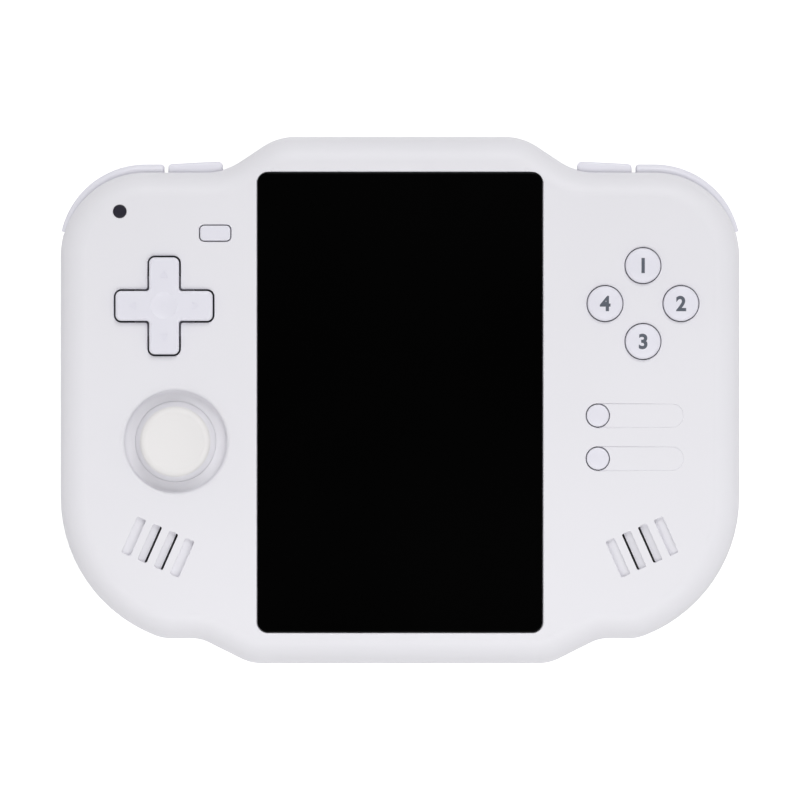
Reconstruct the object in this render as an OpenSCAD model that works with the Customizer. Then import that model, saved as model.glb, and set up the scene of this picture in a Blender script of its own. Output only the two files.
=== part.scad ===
// Handheld game console with a portrait screen, lying on its back with the screen up.
// All sizes are in millimetres. The origin is under the middle of the body, on the surface
// that the feet stand on. X runs to the right, Y to the top edge and Z out of the screen.

/* [Body] */
// Width across both wings
body_w = 144; // [142:0.5:154]
// Height over the raised middle
body_h = 111.7; // [111:0.1:118]
// Thickness from the back face to the front face
body_t = 17.4; // [17.2:0.1:20]
// How far the wings' top edge lies below the top edge of the middle
wing_drop = 7.45; // [6.8:0.05:8]
// How far the wings' bottom edge lies above the bottom edge of the middle
wing_rise = 5.3; // [4.5:0.05:6]
// Radius of the wings' upper corners
upper_corner_r = 18; // [17:0.1:18.6]
// Radius of the wings' lower corners
lower_corner_r = 31.5; // [28:0.5:32]
// Rounding of the front edge
front_edge_r = 5.5; // [5:0.1:6]
// Rounding of the rear edge
rear_edge_r = 7; // [6:0.1:7.2]
// Thickness of the shells' walls
wall = 2; // [1.8:0.1:2.2]
// How far the feet hold the back off the surface
foot_stand = 0.6; // [0.4:0.1:1]

/* [Screen] */
// Width of the cover glass
glass_w = 60.3; // [58:0.1:61]
// Height of the cover glass
glass_h = 97.3; // [94:0.1:98]
// Corner radius of the cover glass
glass_r = 2.2; // [1.6:0.1:3.2]
// Thickness of the cover glass
glass_t = 1.1; // [0.8:0.1:1.3]
// How far the glass lies below the front face
glass_sink = 0.15; // [0.05:0.05:0.3]
// Width of the ledge under the edge of the glass
ledge_w = 1.9; // [1.5:0.1:2.2]

/* [Direction pad] */
// Distance of the pad's centre from the left edge
pad_from_edge = 22.1; // [21:0.1:23]
// Height of the pad's centre over the middle of the body
pad_y = 19.9; // [19:0.1:22]
// Span of the cross from arm end to arm end
pad_span = 20.5; // [19:0.1:21]
// Width of one arm
pad_arm_w = 6.3; // [6.2:0.1:7.2]
// How far the cross stands over the front face
pad_rise = 1.9; // [1.2:0.1:2.4]
// Gap between the cross and its hole
pad_gap = 0.38; // [0.37:0.01:0.45]

/* [Face buttons] */
// Distance of the cluster's centre from the right edge
face_from_edge = 20.6; // [20:0.1:22]
// Height of the cluster's centre over the middle of the body
face_y = 20.4; // [19:0.1:22]
// Distance of each button from the cluster's centre
face_reach = 8.03; // [7.6:0.01:8.6]
// Diameter of one button
face_d = 7.65; // [6.6:0.05:8]
// How far a button stands over the front face
face_rise = 1.6; // [1.2:0.1:2.4]

/* [Menu buttons] */
// Distance of the menu buttons from the edge of the glass
menu_from_glass = 11.7; // [11:0.05:12.4]
// Height of the upper menu button over the middle of the body
menu_y = -3.3; // [-4:0.1:-3]
// Distance between the two menu buttons
menu_pitch = 9.1; // [8.6:0.1:10]
// Diameter of a menu button
menu_d = 4.7; // [4:0.1:5]
// How far a menu button stands over the front face
menu_rise = 0.7; // [0.7:0.1:1.2]
// Length of the label recess from the button's centre to its round end
label_l = 15.6; // [12:0.1:17]
// Depth of the label recess
label_depth = 0.2; // [0.1:0.05:0.4]

/* [Home button] */
// Distance of the home button from the edge of the glass
home_from_glass = 8.95; // [8.6:0.05:9.3]
// Height of the home button over the middle of the body
home_y = 35.3; // [35:0.1:37]
// Width of the home button
home_w = 6.4; // [5.6:0.1:6.8]
// Height of the home button
home_h = 3.2; // [3:0.1:4]
// How far the home button stands over the front face
home_rise = 0.5; // [0.5:0.1:0.9]

/* [Thumbstick] */
// Distance of the stick from the edge of the glass
stick_from_glass = 17.35; // [17:0.05:18]
// Height of the stick's centre over the middle of the body
stick_y = -8.8; // [-10:0.1:-8]
// Diameter of the stick's cap
stick_cap_d = 14.9; // [13:0.1:15]
// Height of the cap's rim over the front face
stick_rise = 4.4; // [4.2:0.1:5]
// Depth of the finger dish in the cap
stick_dish = 0.8; // [0.4:0.1:1]
// Diameter of the well that the stick stands in
stick_well_d = 21.6; // [21.4:0.1:22.4]
// Radius of the dome that closes the well
dome_r = 9.8; // [9.7:0.05:9.9]

/* [Shoulder keys] */
// Radius of the bumpers' outer face
bumper_r = 18.3; // [18.2:0.1:18.6]
// How far the bumpers stand above the wings' top edge
bumper_rise = 1.6; // [1.4:0.1:1.9]
// Gap between a trigger and the foot of the step in the top edge
trigger_from_step = 0.48; // [0.4:0.01:2]
// How far the triggers stand above the wings' top edge
trigger_rise = 1.95; // [1.4:0.05:2.2]
// Gap between a bumper and its trigger
shoulder_gap = 0.95; // [0.9:0.05:1.2]
// Height of the shoulder keys through the thickness of the body
shoulder_h = 8; // [7:0.1:8.4]

/* [Speakers] */
// Distance of the speakers from the side edges
speaker_from_edge = 20.8; // [20.6:0.1:22]
// Height of the speakers' centre over the middle of the body
speaker_y = -31.1; // [-33:0.1:-31]
// Length of a sound slot
slot_l = 8.3; // [7:0.1:9]
// Width of a sound slot
slot_w = 2; // [1.6:0.1:2.2]
// Distance between sound slots
slot_pitch = 3.73; // [3.4:0.01:4]
// Lean of the sound slots in degrees
slot_lean = 24; // [15:1:30]
// Width of the open slit in the two middle slots
slit_w = 0.45; // [0.3:0.05:0.7]

/* [Ports] */
// Distance of the headphone jack from the middle
jack_x = 16; // [14:0.5:20]
// Radius of the headphone jack's bore
jack_r = 1.8; // [1.75:0.01:1.85]
// Distance of the memory card socket from the middle
card_x = 16; // [14:0.5:20]
// Distance of the power key from the middle
power_x = 12; // [9:0.5:14]
// Distance of the volume rocker from the middle
volume_x = 10; // [10:0.5:12]

/* [Fits] */
// Gap round the keys in their holes
key_gap = 0.2; // [0.15:0.01:0.25]
// Running clearance of pins and pivots
pin_gap = 0.05; // [0.03:0.01:0.08]
// Gap round the cover glass in its pocket
glass_gap = 0.15; // [0.1:0.01:0.25]
// Gap between the shells' lip and its groove
lip_gap = 0.1; // [0.05:0.01:0.15]

/* [Travel] */
// Stroke of the face buttons
face_travel = 1.2; // [0.8:0.1:1.3]
// Stroke of the triggers
trigger_travel = 0.8; // [0.4:0.1:0.9]
// Stroke of the stick's click
click_travel = 0.5; // [0.2:0.1:0.6]

/* [Show] */
// Which piece to draw

/* [Hidden] */
$fn = 64;
lap = 0.2;

// Heights
z_back = foot_stand;
z_front = z_back + body_t;
z_inner = z_front - wall;
z_floor = z_back + wall;
board_top = z_front - 6;
board_t = 1.2;
board_bottom = board_top - board_t;
z_part = board_bottom - 1.6;
lip_h = 1.2;
part_chamfer = 0.15;

// Outline of the body
side_x = body_w / 2;
top_y = body_h / 2;
glass_edge = glass_w / 2;
wing_top_y = top_y - wing_drop;
wing_bottom_y = wing_rise - top_y;
body_arc = 7.5;
rim_lap = 1;
upper_slope = 33.7;
upper_step_x = glass_edge - 4.15;
upper_step_r = 12;
upper_foot_x = upper_step_x + wing_drop / tan(upper_slope);
upper_foot_r = 8;
lower_slope = 26.6;
lower_step_x = glass_edge + 1.55;
lower_step_r = 9.5;
lower_foot_x = lower_step_x + wing_rise / tan(lower_slope);
lower_foot_r = 8.5;
kink = 21.4;
kink_r = 9;
lower_reach = (lower_corner_r * tan((90 - kink) / 2) + kink_r * tan(kink / 2) + 0.2) * cos(kink);
lower_flat = side_x - lower_reach - lower_foot_x;
body_half = [
    [lower_step_x, -top_y, lower_step_r],
    [lower_foot_x, wing_bottom_y, min(lower_foot_r, lower_flat)],
    [side_x - lower_reach, wing_bottom_y, min(kink_r, lower_flat)],
    [side_x, wing_bottom_y + lower_reach * tan(kink), lower_corner_r],
    [side_x, wing_top_y, upper_corner_r],
    [upper_foot_x, wing_top_y, upper_foot_r],
    [upper_step_x, top_y, upper_step_r]
];
body_corners = concat(body_half, [for (i = [len(body_half) - 1:-1:0]) flipped(body_half[i])]);

// Screen stack
glass_top = z_front - glass_sink;
glass_bottom = glass_top - glass_t;
gasket_t = 0.4;
ledge_top = glass_bottom - gasket_t;
ledge_bottom = z_inner - 1.1;
glass_y = -0.5;
panel_t = 2.6;
panel_gap = 0.4;
window_w = glass_w - 2 * ledge_w;
window_h = glass_h - 2 * ledge_w;
ledge_wall = 1.2;
ribbon_w = 16;
ribbon_t = 0.3;
ribbon_run = 6;
ribbon_tail = 8;
ribbon_y = glass_y - window_h / 2 + 7.25;

// Buttons
flange_t = 0.9;
seat_gap = 0.1;
flange_top = z_inner - seat_gap;
flange_bottom = flange_top - flange_t;
sheet_t = 0.8;
dome_gap = 0.1;
face_x = side_x - face_from_edge;
face_flange_w = 0.7;
face_tab_w = 1.6;
face_tab_l = 1.9;
face_tab_gap = 0.3;
face_key_w = 6.4;
face_key_z = flange_bottom - 1;
face_sheet_reach = 15;
face_sheet_r = 5;
face_dome_r = 3;
face_spots = [[0, face_reach], [face_reach, 0], [0, -face_reach], [-face_reach, 0]];
menu_x = glass_edge + menu_from_glass;
menu_lower_y = menu_y - menu_pitch;
menu_flange_w = 0.8;
menu_sheet_w = 7.6;
menu_dome_r = 2.2;
label_h = 5;
label_r = 2.45;
home_x = -glass_edge - home_from_glass;
home_flange_w = 0.8;
home_corner_r = 0.9;
home_stem_r = 1;
home_switch_w = 4.6;
home_switch_h = 1.5;
home_travel = 0.4;
home_stem_z = flange_bottom - 0.5;

// Direction pad
pad_x = pad_from_edge - side_x;
pad_flange_t = 0.8;
pad_flange_d = 14.4;
pad_flange_z = z_inner - 2;
pad_pivot_z = pad_flange_z - 0.2;
pad_ball_r = 1.5;
pad_post_top = pad_pivot_z - 0.4;
pad_post_r = 2.4;
pad_dome_reach = 7.4;
pad_dome_r = 2.6;
pad_sheet_r = 11.6;
pad_corner_r = 1.2;
pad_inner_r = 0.6;
pad_dish_r = 12;
pad_dish_depth = 0.35;
pad_edge = 0.6;
arrow_w = 1.7;
arrow_l = 1.45;
arrow_in = 4.3;
arrow_depth = 0.15;

// Thumbstick
stick_x = -glass_edge - stick_from_glass;
pivot_z = z_front - 7;
well_r = stick_well_d / 2;
well_rim_r = 0.8;
well_gap = 0.25;
well_z = z_front - 3.8;
well_hole_r = sqrt(pow(dome_r + well_gap, 2) - pow(well_z - pivot_z, 2));
cap_r = stick_cap_d / 2;
cap_top = z_front + stick_rise;
cap_under = cap_top - 2.5;
dome_t = 0.8;
shaft_r = 1.4;
shaft_foot = pivot_z - 2.7;
stick_case_w = 10.8;
stick_case_wall = 0.9;
stick_case_z = pivot_z - 4.2;
stick_case_top = pivot_z + 1.8;
yoke_w = 8;
yoke_hole_w = 6;
trunnion_r = 1;
block_w = 4.8;

// Shoulder keys
shoulder_z0 = z_part + 0.3 - shoulder_h / 2;
shoulder_z1 = shoulder_z0 + shoulder_h;
slot_gap = 0.3;
slot_z0 = shoulder_z0 - slot_gap;
slot_z1 = shoulder_z1 + slot_gap;
bumper_x = side_x - upper_corner_r;
bumper_y = wing_top_y + bumper_rise - bumper_r;
bumper_in_r = bumper_r - 5.6;
bumper_sweep = 77;
bumper_straight = 3.9;
bumper_edge = 1.2;
lip_reach = 0.6;
lip_depth = 0.7;
trigger_x1 = bumper_x - bumper_straight - shoulder_gap;
trigger_x0 = upper_foot_x + trigger_from_step;
trigger_w = trigger_x1 - trigger_x0;
trigger_top = wing_top_y + trigger_rise;
trigger_in_y = wing_top_y - 4;
ear_r = 2.2;
hinge_pin_r = 1;
hinge_dx = 12.3;
hinge_dy = 5.4;
pin_boss_r = 2;
pin_seat = 1.4;

// Speakers
speaker_x = side_x - speaker_from_edge;
speaker_w = 17;
speaker_d = 12;
mesh_t = 0.3;
slot_lip = 0.5;
slot_depth = 1.6;
blind_depth = 1;

// Ports and edge keys
usb_w = 8.94;
usb_h = 3.2;
usb_l = 7.3;
jack_w = 6.4;
jack_h = 5;
jack_l = 12;
jack_back = 0.45;
jack_z = board_bottom - jack_h / 2;
card_w = 14;
card_h = 1.9;
card_l = 14;
key_h = 3;
power_w = 8.4;
volume_w = 17;
key_top = top_y - 0.05;
key_flange_y = top_y - 3.2;
key_flange_t = 0.75;
switch_tip_y = top_y - 3.85;
lens_d = 2.8;
lens_x = side_x - 12.7;
lens_y = wing_top_y - 8.5;

// Screws and feet
screw_r = 1;
screw_head_r = 1.9;
screw_head_t = 1.4;
screw_seat_z = z_back + 3;
boss_r = 2.6;
rear_boss_r = 3.2;
screw_slot_w = 0.6;
screw_slot_l = 2.4;
screw_side = 5.7;
screw_mid_y = 6;
screw_spots = [
    [side_x - screw_side, screw_mid_y],
    [lower_step_x + 4.3, 10.3 - top_y],
    [upper_step_x + 7, top_y - 11.45]
];
foot_r = 4.5;
foot_sink = 0.4;
foot_upper = [22, 30];
foot_lower = [26, -34];
foot_spots = [[side_x - foot_upper.x, foot_upper.y], [side_x - foot_lower.x, foot_lower.y]];

// Battery, shield and board
battery_w = 58;
battery_h = 70;
battery_t = 5.6;
battery_y = 3;
shield_w = 34;
shield_h = 30;
shield_t = 1.8;
board_inset = 3.2;
board_gap = 0.5;

// Colours
shell_colour = [0.88, 0.875, 0.9];
key_colour = [0.89, 0.885, 0.925];
cap_colour = [0.91, 0.905, 0.9];
dark_colour = [0.13, 0.13, 0.15];
metal_colour = [0.72, 0.73, 0.75];
rubber_colour = [0.45, 0.46, 0.48];
board_colour = [0.05, 0.27, 0.16];

// A corner of a path on the other side of the middle
function flipped(c) = [-c.x, c.y, c.z];

function unit(v) = v / norm(v);

// Points of one rounded corner [x, y, radius] of a path that has its inside on the left
function corner_points(before, at, after, inset, step) =
    let (
        d1 = unit([at.x - before.x, at.y - before.y]),
        d2 = unit([after.x - at.x, after.y - at.y]),
        side = sign(d1.x * d2.y - d1.y * d2.x),
        turn = acos(d1 * d2),
        centre = [at.x, at.y] - d1 * at.z * tan(turn / 2) + [-d1.y, d1.x] * side * at.z,
        first = atan2(-side * d1.x, side * d1.y),
        steps = ceil(turn / step)
    )
    [for (i = [0:steps]) centre + (at.z - side * inset)
        * [cos(first + side * turn * i / steps), sin(first + side * turn * i / steps)]];

// A closed path with rounded corners, moved in by inset
function rounded(corners, inset = 0, step = 15) =
    let (n = len(corners))
    [for (i = [0:n - 1]) each
        corner_points(corners[(i + n - 1) % n], corners[i], corners[(i + 1) % n], inset, step)];

function rectangle(w, h, r) = [[-w / 2, -h / 2, r], [w / 2, -h / 2, r], [w / 2, h / 2, r], [-w / 2, h / 2, r]];

function cross(span, arm, r_out, r_in) =
    let (s = span / 2, a = arm / 2)
    [
        [-a, -s, r_out], [a, -s, r_out], [a, -a, r_in],
        [s, -a, r_out], [s, a, r_out], [a, a, r_in],
        [a, s, r_out], [-a, s, r_out], [-a, a, r_in],
        [-s, a, r_out], [-s, -a, r_out], [-a, -a, r_in]
    ];

// Points of an arc in a profile
function arc(cx, cy, r, a0, a1, n) =
    [for (i = [0:n]) [cx + r * cos(a0 + (a1 - a0) * i / n), cy + r * sin(a0 + (a1 - a0) * i / n)]];

// A section of [inset, height] points swept once round a path
module swept_rim(corners, section, step = 15) {
    rings = [for (s = section) [for (p = rounded(corners, s[0], step)) [p.x, p.y, s[1]]]];
    n = len(rings[0]);
    m = len(section);
    polyhedron(
        points = [for (ring = rings) each ring],
        faces = [for (j = [0:m - 1], i = [0:n - 1])
            [j * n + i, (j + 1) % m * n + i, (j + 1) % m * n + (i + 1) % n, j * n + (i + 1) % n]]
    );
}

// A profile of [radius, height] points swept through stations [x, y, angle]
module swept_path(stations, profile) {
    n = len(stations);
    m = len(profile);
    polyhedron(
        points = [for (s = stations, p = profile) [s.x + p[0] * cos(s.z), s.y + p[0] * sin(s.z), p[1]]],
        faces = concat(
            [[for (j = [m - 1:-1:0]) j], [for (j = [0:m - 1]) (n - 1) * m + j]],
            [for (i = [0:n - 2], j = [0:m - 1])
                [i * m + j, i * m + (j + 1) % m, (i + 1) * m + (j + 1) % m, (i + 1) * m + j]]
        )
    );
}

module prism(corners, z0, z1, inset = 0, step = 15)
    translate([0, 0, z0])
        linear_extrude(z1 - z0)
            polygon(rounded(corners, inset, step));

// A prism with a rounded top edge
module soft_prism(corners, z0, z1, edge) {
    swept_rim(corners, concat(
        [[0, z0]],
        [for (a = [0:22.5:90]) [edge * (1 - cos(a)), z1 - edge * (1 - sin(a))]],
        [[edge + lap, z1], [edge + lap, z0]]
    ));
    prism(corners, z0, z1, edge + lap / 2);
}

// Stands a piece that was drawn upwards so that it points to the top edge
module to_top_edge()
    rotate([-90, 0, 0])
        children();

module both_sides() {
    children();
    mirror([1, 0, 0])
        children();
}

module at_spots(spots)
    both_sides()
        for (s = spots)
            translate([s.x, s.y, 0])
                children();

// Shells

front_section = concat(
    [[part_chamfer, z_part], [0, z_part + part_chamfer]],
    [for (a = [0:11.25:90]) [front_edge_r * (1 - cos(a)), z_front - front_edge_r * (1 - sin(a))]],
    [[front_edge_r + rim_lap, z_front], [front_edge_r + rim_lap, z_inner]],
    [for (a = [90:-30:0]) [
        front_edge_r - (front_edge_r - wall) * cos(a),
        z_front - front_edge_r + (front_edge_r - wall) * sin(a)
    ]],
    [[wall, z_part - lip_h], [wall / 2 + lip_gap, z_part - lip_h], [wall / 2 + lip_gap, z_part]]
);

rear_section = concat(
    [for (a = [90:-11.25:0]) [rear_edge_r * (1 - cos(a)), z_back + rear_edge_r * (1 - sin(a))]],
    [[0, z_part - part_chamfer], [part_chamfer, z_part], [wall / 2, z_part]],
    [[wall / 2, z_part - lip_h - lip_gap], [wall, z_part - lip_h - lip_gap]],
    [for (a = [0:30:90]) [
        rear_edge_r - (rear_edge_r - wall) * cos(a),
        z_back + rear_edge_r - (rear_edge_r - wall) * sin(a)
    ]],
    [[rear_edge_r + rim_lap / 2, z_floor], [rear_edge_r + rim_lap / 2, z_back]]
);

// Opening in the walls for one bumper and its trigger
module shoulder_slot() {
    translate([bumper_x, bumper_y, slot_z0])
        rotate_extrude(angle = 90)
            translate([bumper_in_r - 1, 0])
                square([9, slot_z1 - slot_z0]);
    translate([trigger_x0 - key_gap, trigger_in_y - 1, slot_z0])
        cube([bumper_x - trigger_x0 + key_gap, 9, slot_z1 - slot_z0]);
}

// The part of the wall below a bumper that closes the opening again
module bumper_stop_cut()
    translate([bumper_x, bumper_y, slot_z0 - 1])
        rotate([0, 0, 90 - bumper_sweep - 0.7 - 30])
            rotate_extrude(angle = 30)
                translate([bumper_in_r - 2, 0])
                    square([11, slot_z1 - slot_z0 + 2]);

module shoulder_openings()
    both_sides()
        difference() {
            shoulder_slot();
            bumper_stop_cut();
        }

// Openings for the keys on the top edge and the ports on the bottom edge
module edge_openings() {
    translate([power_x, top_y - 5, z_part])
        to_top_edge()
            prism(rectangle(power_w + 2 * key_gap, key_h + 2 * key_gap, 1.4 + key_gap), 0, 8);
    translate([-volume_x, top_y - 5, z_part])
        to_top_edge()
            prism(rectangle(volume_w + 2 * key_gap, key_h + 2 * key_gap, 1.4 + key_gap), 0, 8);
    translate([0, -top_y - 3, z_part])
        to_top_edge()
            prism(rectangle(usb_w + 0.5, usb_h + 0.5, 1.6), 0, 8);
    translate([jack_x, 5 - top_y, jack_z])
        rotate([90, 0, 0])
            cylinder(r = 3.2, h = 8);
    translate([-card_x, -top_y - 3, board_bottom - card_h / 2])
        to_top_edge()
            prism(rectangle(12.2, 1.7, 0.4), 0, 8);
}

// One sound slot with a sloping floor, deepest at the edge that faces the screen
module sound_slot(depth, open) {
    translate([0, slot_l / 2, 0])
        rotate([90, 0, 0])
            linear_extrude(slot_l)
                polygon([
                    [-slot_w / 2, z_front + 0.2], [-slot_w / 2, z_front - slot_lip],
                    [slot_w / 2, z_front - depth], [slot_w / 2, z_front + 0.2]
                ]);
    if (open)
        translate([slot_w / 2 - slit_w, -slot_l / 2, z_inner - 1])
            cube([slit_w, slot_l, wall + 0.8]);
}

module left_sound_slots()
    translate([-speaker_x, speaker_y, 0])
        rotate([0, 0, -slot_lean])
            for (i = [0:3])
                translate([(i - 1.5) * slot_pitch, 0, 0])
                    sound_slot(i == 0 || i == 3 ? blind_depth : slot_depth, i == 1 || i == 2);

// A bevel cut round the edge of an opening in the front face
module edge_bevel(corners, size)
    swept_rim(corners, [
        [-size, z_front], [-size, z_front + 0.3], [0.4, z_front + 0.3], [0.4, z_front - size], [0, z_front - size]
    ]);

module round_opening(d) {
    translate([0, 0, z_inner - 3])
        cylinder(d = d, h = wall + 4);
    translate([0, 0, z_front - 0.25])
        cylinder(d1 = d, d2 = d + 1, h = 0.5);
}

// Bowl round the thumbstick
module stick_well()
    translate([stick_x, stick_y, 0])
        rotate_extrude()
            polygon(concat(
                [[0, well_z - 1], [well_hole_r, well_z - 1]],
                [for (t = [0:15:90]) [
                    well_hole_r + (well_r - well_hole_r) * sin(t),
                    z_front - well_rim_r - (z_front - well_rim_r - well_z - 0.5) * cos(t)
                ]],
                arc(well_r + well_rim_r, z_front - well_rim_r, well_rim_r, 180, 90, 5),
                [[well_r + well_rim_r, z_front + 1], [0, z_front + 1]]
            ));

module front_openings() {
    // Pocket and window of the screen
    translate([0, glass_y, 0]) {
        pocket = rectangle(glass_w + 2 * glass_gap, glass_h + 2 * glass_gap, glass_r + glass_gap);
        prism(pocket, ledge_top, z_front + 1);
        edge_bevel(pocket, 0.3);
        prism(rectangle(window_w, window_h, 1), ledge_bottom - 1, z_front + 1);
    }
    // Direction pad
    translate([pad_x, pad_y, 0]) {
        pad_hole = cross(pad_span + 2 * pad_gap, pad_arm_w + 2 * pad_gap, pad_corner_r + pad_gap, pad_inner_r - 0.1);
        prism(pad_hole, z_inner - 1, z_front + 1);
        edge_bevel(pad_hole, 0.2);
    }
    // Face buttons
    for (s = face_spots)
        translate([face_x + s.x, face_y + s.y, 0])
            round_opening(face_d + 2 * key_gap);
    // Menu buttons and their label recesses
    for (y = [menu_y, menu_lower_y])
        translate([menu_x, y, 0]) {
            round_opening(menu_d + 2 * key_gap);
            translate([label_l / 2, 0, 0])
                prism(rectangle(label_l + label_h, label_h, label_r), z_front - label_depth, z_front + 1);
        }
    // Home button
    translate([home_x, home_y, 0]) {
        home_hole = rectangle(home_w + 2 * key_gap, home_h + 2 * key_gap, home_corner_r + key_gap);
        prism(home_hole, z_inner - 1, z_front + 1);
        edge_bevel(home_hole, 0.2);
    }
    stick_well();
    translate([-lens_x, lens_y, 0])
        round_opening(lens_d + 0.1);
    both_sides()
        left_sound_slots();
    shoulder_openings();
    edge_openings();
    // Screw and pin holes
    at_spots(screw_spots)
        translate([0, 0, board_top - 1])
            cylinder(r = screw_r + 0.02, h = z_inner - board_top + 0.4);
    at_hinges()
        translate([0, 0, slot_z1 - 1])
            cylinder(r = hinge_pin_r, h = pin_seat + 1);
}

// Block in the middle of the face buttons, with slots for their tabs
module face_key()
    translate([face_x, face_y, face_key_z])
        linear_extrude(z_inner - face_key_z + lap)
            difference() {
                square(face_key_w, center = true);
                for (s = face_spots)
                    translate(s)
                        circle(d = face_d + 2 * (face_flange_w + face_tab_gap));
                square([face_tab_w + 2 * face_tab_gap, 2 * face_key_w], center = true);
                square([2 * face_key_w, face_tab_w + 2 * face_tab_gap], center = true);
            }

module at_hinges()
    both_sides()
        translate([bumper_x + hinge_dx, bumper_y + hinge_dy, 0])
            children();

module front_shell()
    color(shell_colour)
        difference() {
            union() {
                swept_rim(body_corners, front_section, body_arc);
                prism(body_corners, z_inner, z_front, front_edge_r + rim_lap / 2, body_arc);
                translate([0, glass_y, 0])
                    prism(rectangle(glass_w + 2 * (glass_gap + ledge_wall), glass_h + 2 * (glass_gap + ledge_wall), 3),
                        ledge_bottom, z_inner + lap);
                translate([stick_x, stick_y, well_z])
                    cylinder(r = well_r + 2, h = z_inner - well_z + lap);
                face_key();
                at_spots(screw_spots)
                    translate([0, 0, board_top])
                        cylinder(r = boss_r, h = z_inner - board_top + lap);
                at_hinges()
                    translate([0, 0, slot_z1])
                        cylinder(r = pin_boss_r, h = z_inner - slot_z1 + lap);
            }
            front_openings();
        }

module rear_shell()
    color(shell_colour)
        difference() {
            union() {
                swept_rim(body_corners, rear_section, body_arc);
                prism(body_corners, z_back, z_floor, rear_edge_r + rim_lap / 4, body_arc);
                at_spots(screw_spots)
                    translate([0, 0, z_back + 1.2])
                        cylinder(r = rear_boss_r, h = board_bottom - z_back - 1.2);
                at_hinges()
                    translate([0, 0, z_back + 1.6])
                        cylinder(r = pin_boss_r, h = slot_z0 - z_back - 1.6);
                // Seat of the stick
                translate([stick_x, stick_y, z_floor - lap])
                    linear_extrude(stick_case_z - z_floor + lap)
                        difference() {
                            square(stick_case_w, center = true);
                            square(stick_case_w - 3, center = true);
                        }
                // Ribs that hold the battery
                translate([0, battery_y, 0])
                    both_sides()
                        translate([battery_w / 2 + 0.2, -battery_h / 2, z_floor - lap])
                            cube([1.2, battery_h, 4]);
            }
            at_spots(screw_spots) {
                translate([0, 0, z_back - 1])
                    cylinder(r = screw_head_r + 0.3, h = screw_seat_z - z_back + 1);
                cylinder(r = screw_r + 0.15, h = board_bottom + 1);
            }
            at_hinges()
                translate([0, 0, slot_z0 - pin_seat])
                    cylinder(r = hinge_pin_r, h = pin_seat + 1);
            at_spots(foot_spots)
                translate([0, 0, z_back - 1])
                    cylinder(r = foot_r + 0.1, h = foot_sink + 1);
            shoulder_openings();
            edge_openings();
        }

// Screen

module cover_glass()
    color([0.01, 0.01, 0.012])
        translate([0, glass_y, 0])
            prism(rectangle(glass_w, glass_h, glass_r), glass_bottom, glass_top);

module screen_gasket()
    color(dark_colour)
        translate([0, glass_y, ledge_top])
            linear_extrude(gasket_t)
                difference() {
                    polygon(rounded(rectangle(glass_w - 0.4, glass_h - 0.4, glass_r)));
                    polygon(rounded(rectangle(window_w, window_h, 1)));
                }

module display_panel()
    color(dark_colour)
        translate([0, glass_y, 0])
            prism(rectangle(window_w - 2 * panel_gap, window_h - 2 * panel_gap, 0.8),
                glass_bottom - panel_t, glass_bottom);

// Flat cable that steps from the back of the panel down to the board
module display_ribbon()
    color([0.75, 0.5, 0.2])
        translate([-ribbon_w / 2, ribbon_y, 0])
            rotate([90, 0, 90])
                linear_extrude(ribbon_w)
                    polygon([
                        [0, glass_bottom - panel_t - ribbon_t], [ribbon_run, glass_bottom - panel_t - ribbon_t],
                        [ribbon_run, board_top], [ribbon_run + ribbon_tail, board_top],
                        [ribbon_run + ribbon_tail, board_top + ribbon_t],
                        [ribbon_run + ribbon_t, board_top + ribbon_t],
                        [ribbon_run + ribbon_t, glass_bottom - panel_t], [0, glass_bottom - panel_t]
                    ]);

// Board and what is on it

module main_board()
    color(board_colour)
        difference() {
            prism(body_corners, board_bottom, board_top, board_inset, body_arc);
            both_sides() {
                // Room for the bumper and the trigger
                translate([bumper_x, bumper_y, board_bottom - 1])
                    linear_extrude(board_t + 2)
                        difference() {
                            square([25, 25]);
                            circle(r = norm([hinge_dx, hinge_dy]) - ear_r - board_gap);
                        }
                translate([trigger_x0 - 1.5, trigger_in_y - 1.4, board_bottom - 1])
                    cube([bumper_x - trigger_x0 + 1.6, 12, board_t + 2]);
            }
            translate([-24, switch_tip_y - 0.6, board_bottom - 1])
                cube([48, 12, board_t + 2]);
            translate([stick_x, stick_y, board_bottom - 1])
                cylinder(r = dome_r + 0.6, h = board_t + 2);
            at_spots(screw_spots)
                translate([0, 0, board_bottom - 1])
                    cylinder(r = screw_r + 0.2, h = board_t + 2);
        }

module shield_can()
    color(metal_colour)
        translate([0, 8, 0])
            difference() {
                prism(rectangle(shield_w, shield_h, 1), board_bottom - shield_t, board_bottom);
                prism(rectangle(shield_w - 0.6, shield_h - 0.6, 0.8), board_bottom - shield_t + 0.3, board_bottom + 1);
            }

module battery()
    color([0.25, 0.27, 0.3])
        translate([0, battery_y, 0])
            prism(rectangle(battery_w, battery_h, 2), z_floor, z_floor + battery_t);

// One loudspeaker with its cone facing the slots
module speaker()
    difference() {
        prism(rectangle(speaker_w, speaker_d, 2.5), board_top, z_inner - mesh_t);
        translate([0, 0, z_inner - mesh_t - 0.6])
            cylinder(d1 = 6, d2 = 9.6, h = 0.8);
    }

module left_speaker()
    color(dark_colour)
        translate([-speaker_x, speaker_y, 0])
            rotate([0, 0, -slot_lean])
                speaker();

module right_speaker()
    color(dark_colour)
        mirror([1, 0, 0])
            left_speaker();

module speaker_meshes()
    color([0.03, 0.03, 0.03])
        both_sides()
            translate([-speaker_x, speaker_y, 0])
                rotate([0, 0, -slot_lean])
                    prism(rectangle(speaker_w - 1, speaker_d - 1, 2), z_inner - mesh_t, z_inner);

// Direction pad

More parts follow.
